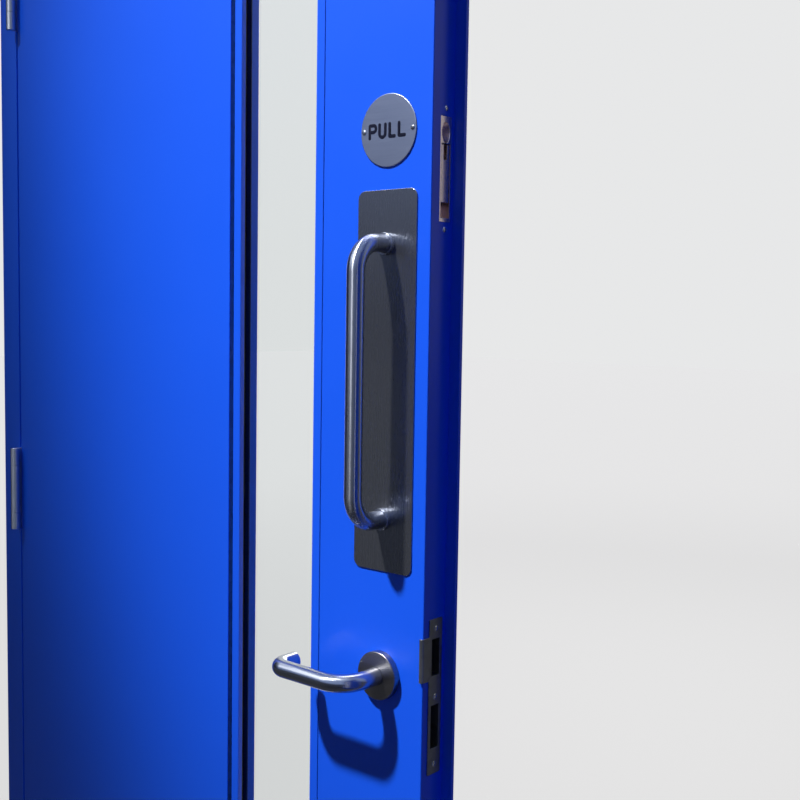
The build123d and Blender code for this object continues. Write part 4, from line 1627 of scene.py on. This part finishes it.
@dataclass
class Studio:
    """The floor, the pale surroundings, the lamps and the camera."""

    camera_place: Point = (0.7010, -0.9376, 1.3816)
    camera_yaw: float = 39.94
    camera_pitch: float = 4.30
    camera_roll: float = 0.92
    camera_lens: float = 50.1
    camera_film: float = 36.0
    camera_near: float = 0.02
    floor: FloorLook = FloorLook()
    room: RoomLook = RoomLook()
    lamps: tuple[Lamp, ...] = (
        Lamp("key", (-1.78, -4.06, 7.80), (-0.09, -0.05, 1.51), 4400.0, 0.20, cone=11.7),
        Lamp("back fill", (-1.5, 3.6, 3.2), (0.0, 0.0, 1.1), 90.0, 2.0),
        Lamp("right fill", (3.4, -2.3, 2.5), (0.75, -0.45, 1.1), 26.0, 1.6, mirrored=False),
    )

    def build(self) -> None:
        """Makes the whole studio."""
        self._floor()
        self._surroundings()
        for lamp in self.lamps:
            lamp.light()
        self._camera()

    def _rays(self, sketch: Sketch) -> tuple[Socket, Socket]:
        """Tells the rays that see the background apart.

        Args:
            sketch: The node tree that needs them.

        Returns:
            An output that is 1 for what is seen straight on or through glass, and one that
            is 1 for what metal mirrors.
        """
        path = sketch.node("ShaderNodeLightPath").outputs
        seen = sketch.maths("MAXIMUM", path["Is Camera Ray"], path["Is Transmission Ray"])
        return seen, path["Is Glossy Ray"]

    def _floor(self) -> None:
        """Makes the pale floor, which keeps the door set's shadow."""
        look = self.floor
        shape = bmesh.new()
        bmesh.ops.create_grid(shape, x_segments=look.squares, y_segments=look.squares,
                              size=look.half)
        floor = put("floor", drawn("floor", shape))
        made = bpy.data.materials.new("pale_floor")
        made.use_nodes = True
        sketch = Sketch(made.node_tree)
        shader = made.node_tree.nodes["Principled BSDF"].inputs
        seen, mirrored = self._rays(sketch)
        place = sketch.node("ShaderNodeTexCoord").outputs["Object"]
        parts = sketch.node("ShaderNodeSeparateXYZ")
        away = sketch.node("ShaderNodeVectorMath", operation="LENGTH")
        sketch.join(place, parts.inputs[0], away.inputs[0])
        near = sketch.ramp(parts.outputs["Y"], *look.mirrored_reach)
        far = sketch.ramp(away.outputs["Value"], *look.glow_reach)
        dim = sketch.maths("MULTIPLY", mirrored, sketch.ranged(near, *look.mirrored_glow))
        pale = sketch.maths("MULTIPLY", seen, sketch.ranged(far, *look.glow))
        shader["Roughness"].default_value = look.dullness
        shader["Emission Color"].default_value = (*look.tint, 1.0)
        sketch.join(sketch.blend(mirrored, look.base, look.mirrored_base), shader["Base Color"])
        sketch.join(sketch.maths("ADD", pale, dim), shader["Emission Strength"])
        floor.data.materials.append(made)

    def _surroundings(self) -> None:
        """Makes the world: pale to the eye, and for metal a sky, dark sides and a window."""
        look = self.room
        world = bpy.data.worlds.new("studio")
        world.use_nodes = True
        bpy.context.scene.world = world
        sketch = Sketch(world.node_tree)
        seen, mirrored = self._rays(sketch)
        way = sketch.node("ShaderNodeTexCoord").outputs["Generated"]
        parts = sketch.node("ShaderNodeSeparateXYZ")
        facing = sketch.node("ShaderNodeVectorMath", operation="DOT_PRODUCT")
        facing.inputs[1].default_value = look.window_way
        sketch.join(way, parts.inputs[0], facing.inputs[0])
        across, along, upward = (parts.outputs[axis] for axis in "XYZ")
        sky = sketch.blend(sketch.ramp(upward, *look.sky_span), look.dark, look.sky)
        sides = sketch.maths("MAXIMUM", sketch.ramp(across, *look.left_dark_span),
                             sketch.ramp(across, *look.right_dark_span))
        shaded = sketch.blend(sides, sky, look.dark)
        window = sketch.ramp(facing.outputs["Value"], *look.window_span)
        front = sketch.blend(window, shaded, look.window)
        room = sketch.blend(sketch.ramp(along, *look.behind_span), front, look.behind)
        lit = sketch.blend(mirrored, look.ambient, room)
        shade = world.node_tree.nodes["Background"]
        sketch.join(sketch.blend(seen, lit, look.seen), shade.inputs["Color"])

    def _camera(self) -> None:
        """Puts the camera where the photograph was taken."""
        angles = (self.camera_yaw, self.camera_pitch, self.camera_roll)
        yaw, pitch, roll = (math.radians(angle) for angle in angles)
        ahead = Vector((-math.sin(yaw) * math.cos(pitch), math.cos(yaw) * math.cos(pitch),
                        -math.sin(pitch)))
        level = Vector((math.cos(yaw), math.sin(yaw), 0.0))
        upright = level.cross(ahead)
        right = level * math.cos(roll) + upright * math.sin(roll)
        up = upright * math.cos(roll) - level * math.sin(roll)
        data = bpy.data.cameras.new("camera")
        data.lens = self.camera_lens
        data.sensor_width = self.camera_film
        data.clip_start = self.camera_near
        made = put("camera", data)
        turned = Matrix((right, up, -ahead)).transposed().to_4x4()
        made.matrix_world = Matrix.Translation(self.camera_place) @ turned
        bpy.context.scene.camera = made


def main() -> None:
    """Builds the studio, the finishes and every sub-assembly in order."""
    logging.basicConfig(level=logging.INFO, format="%(name)s: %(message)s")
    bpy.context.scene.view_settings.view_transform = "Standard"
    Studio().build()
    bench = Bench(Palette(), ShapeTrees())
    left, right = LeafPlace(Side.LEFT), LeafPlace(Side.RIGHT)
    steps: list[tuple[str, Callable[[], None]]] = [
        ("frame", FrameSet(bench).build),
        ("hinges", Hinges(bench).build),
        ("left leaf", LeafShell(bench, left).build),
        ("right leaf", LeafShell(bench, right).build),
        ("left levers", LeverSet(bench, left).build),
        ("right levers", LeverSet(bench, right).build),
        ("left pull handle", PullSet(bench, left).build),
        ("right pull handle", PullSet(bench, right).build),
        ("sign", Sign(bench, left).build),
        ("flush bolts", FlushBolts(bench, left).build),
        ("strike", Strike(bench, left).build),
        ("mortise lock", MortiseLock(bench, right).build),
    ]
    for name, build in steps:
        before = bench.count
        build()
        log.info("%s: %d pieces", name, bench.count - before)


if __name__ == "__main__":
    main()
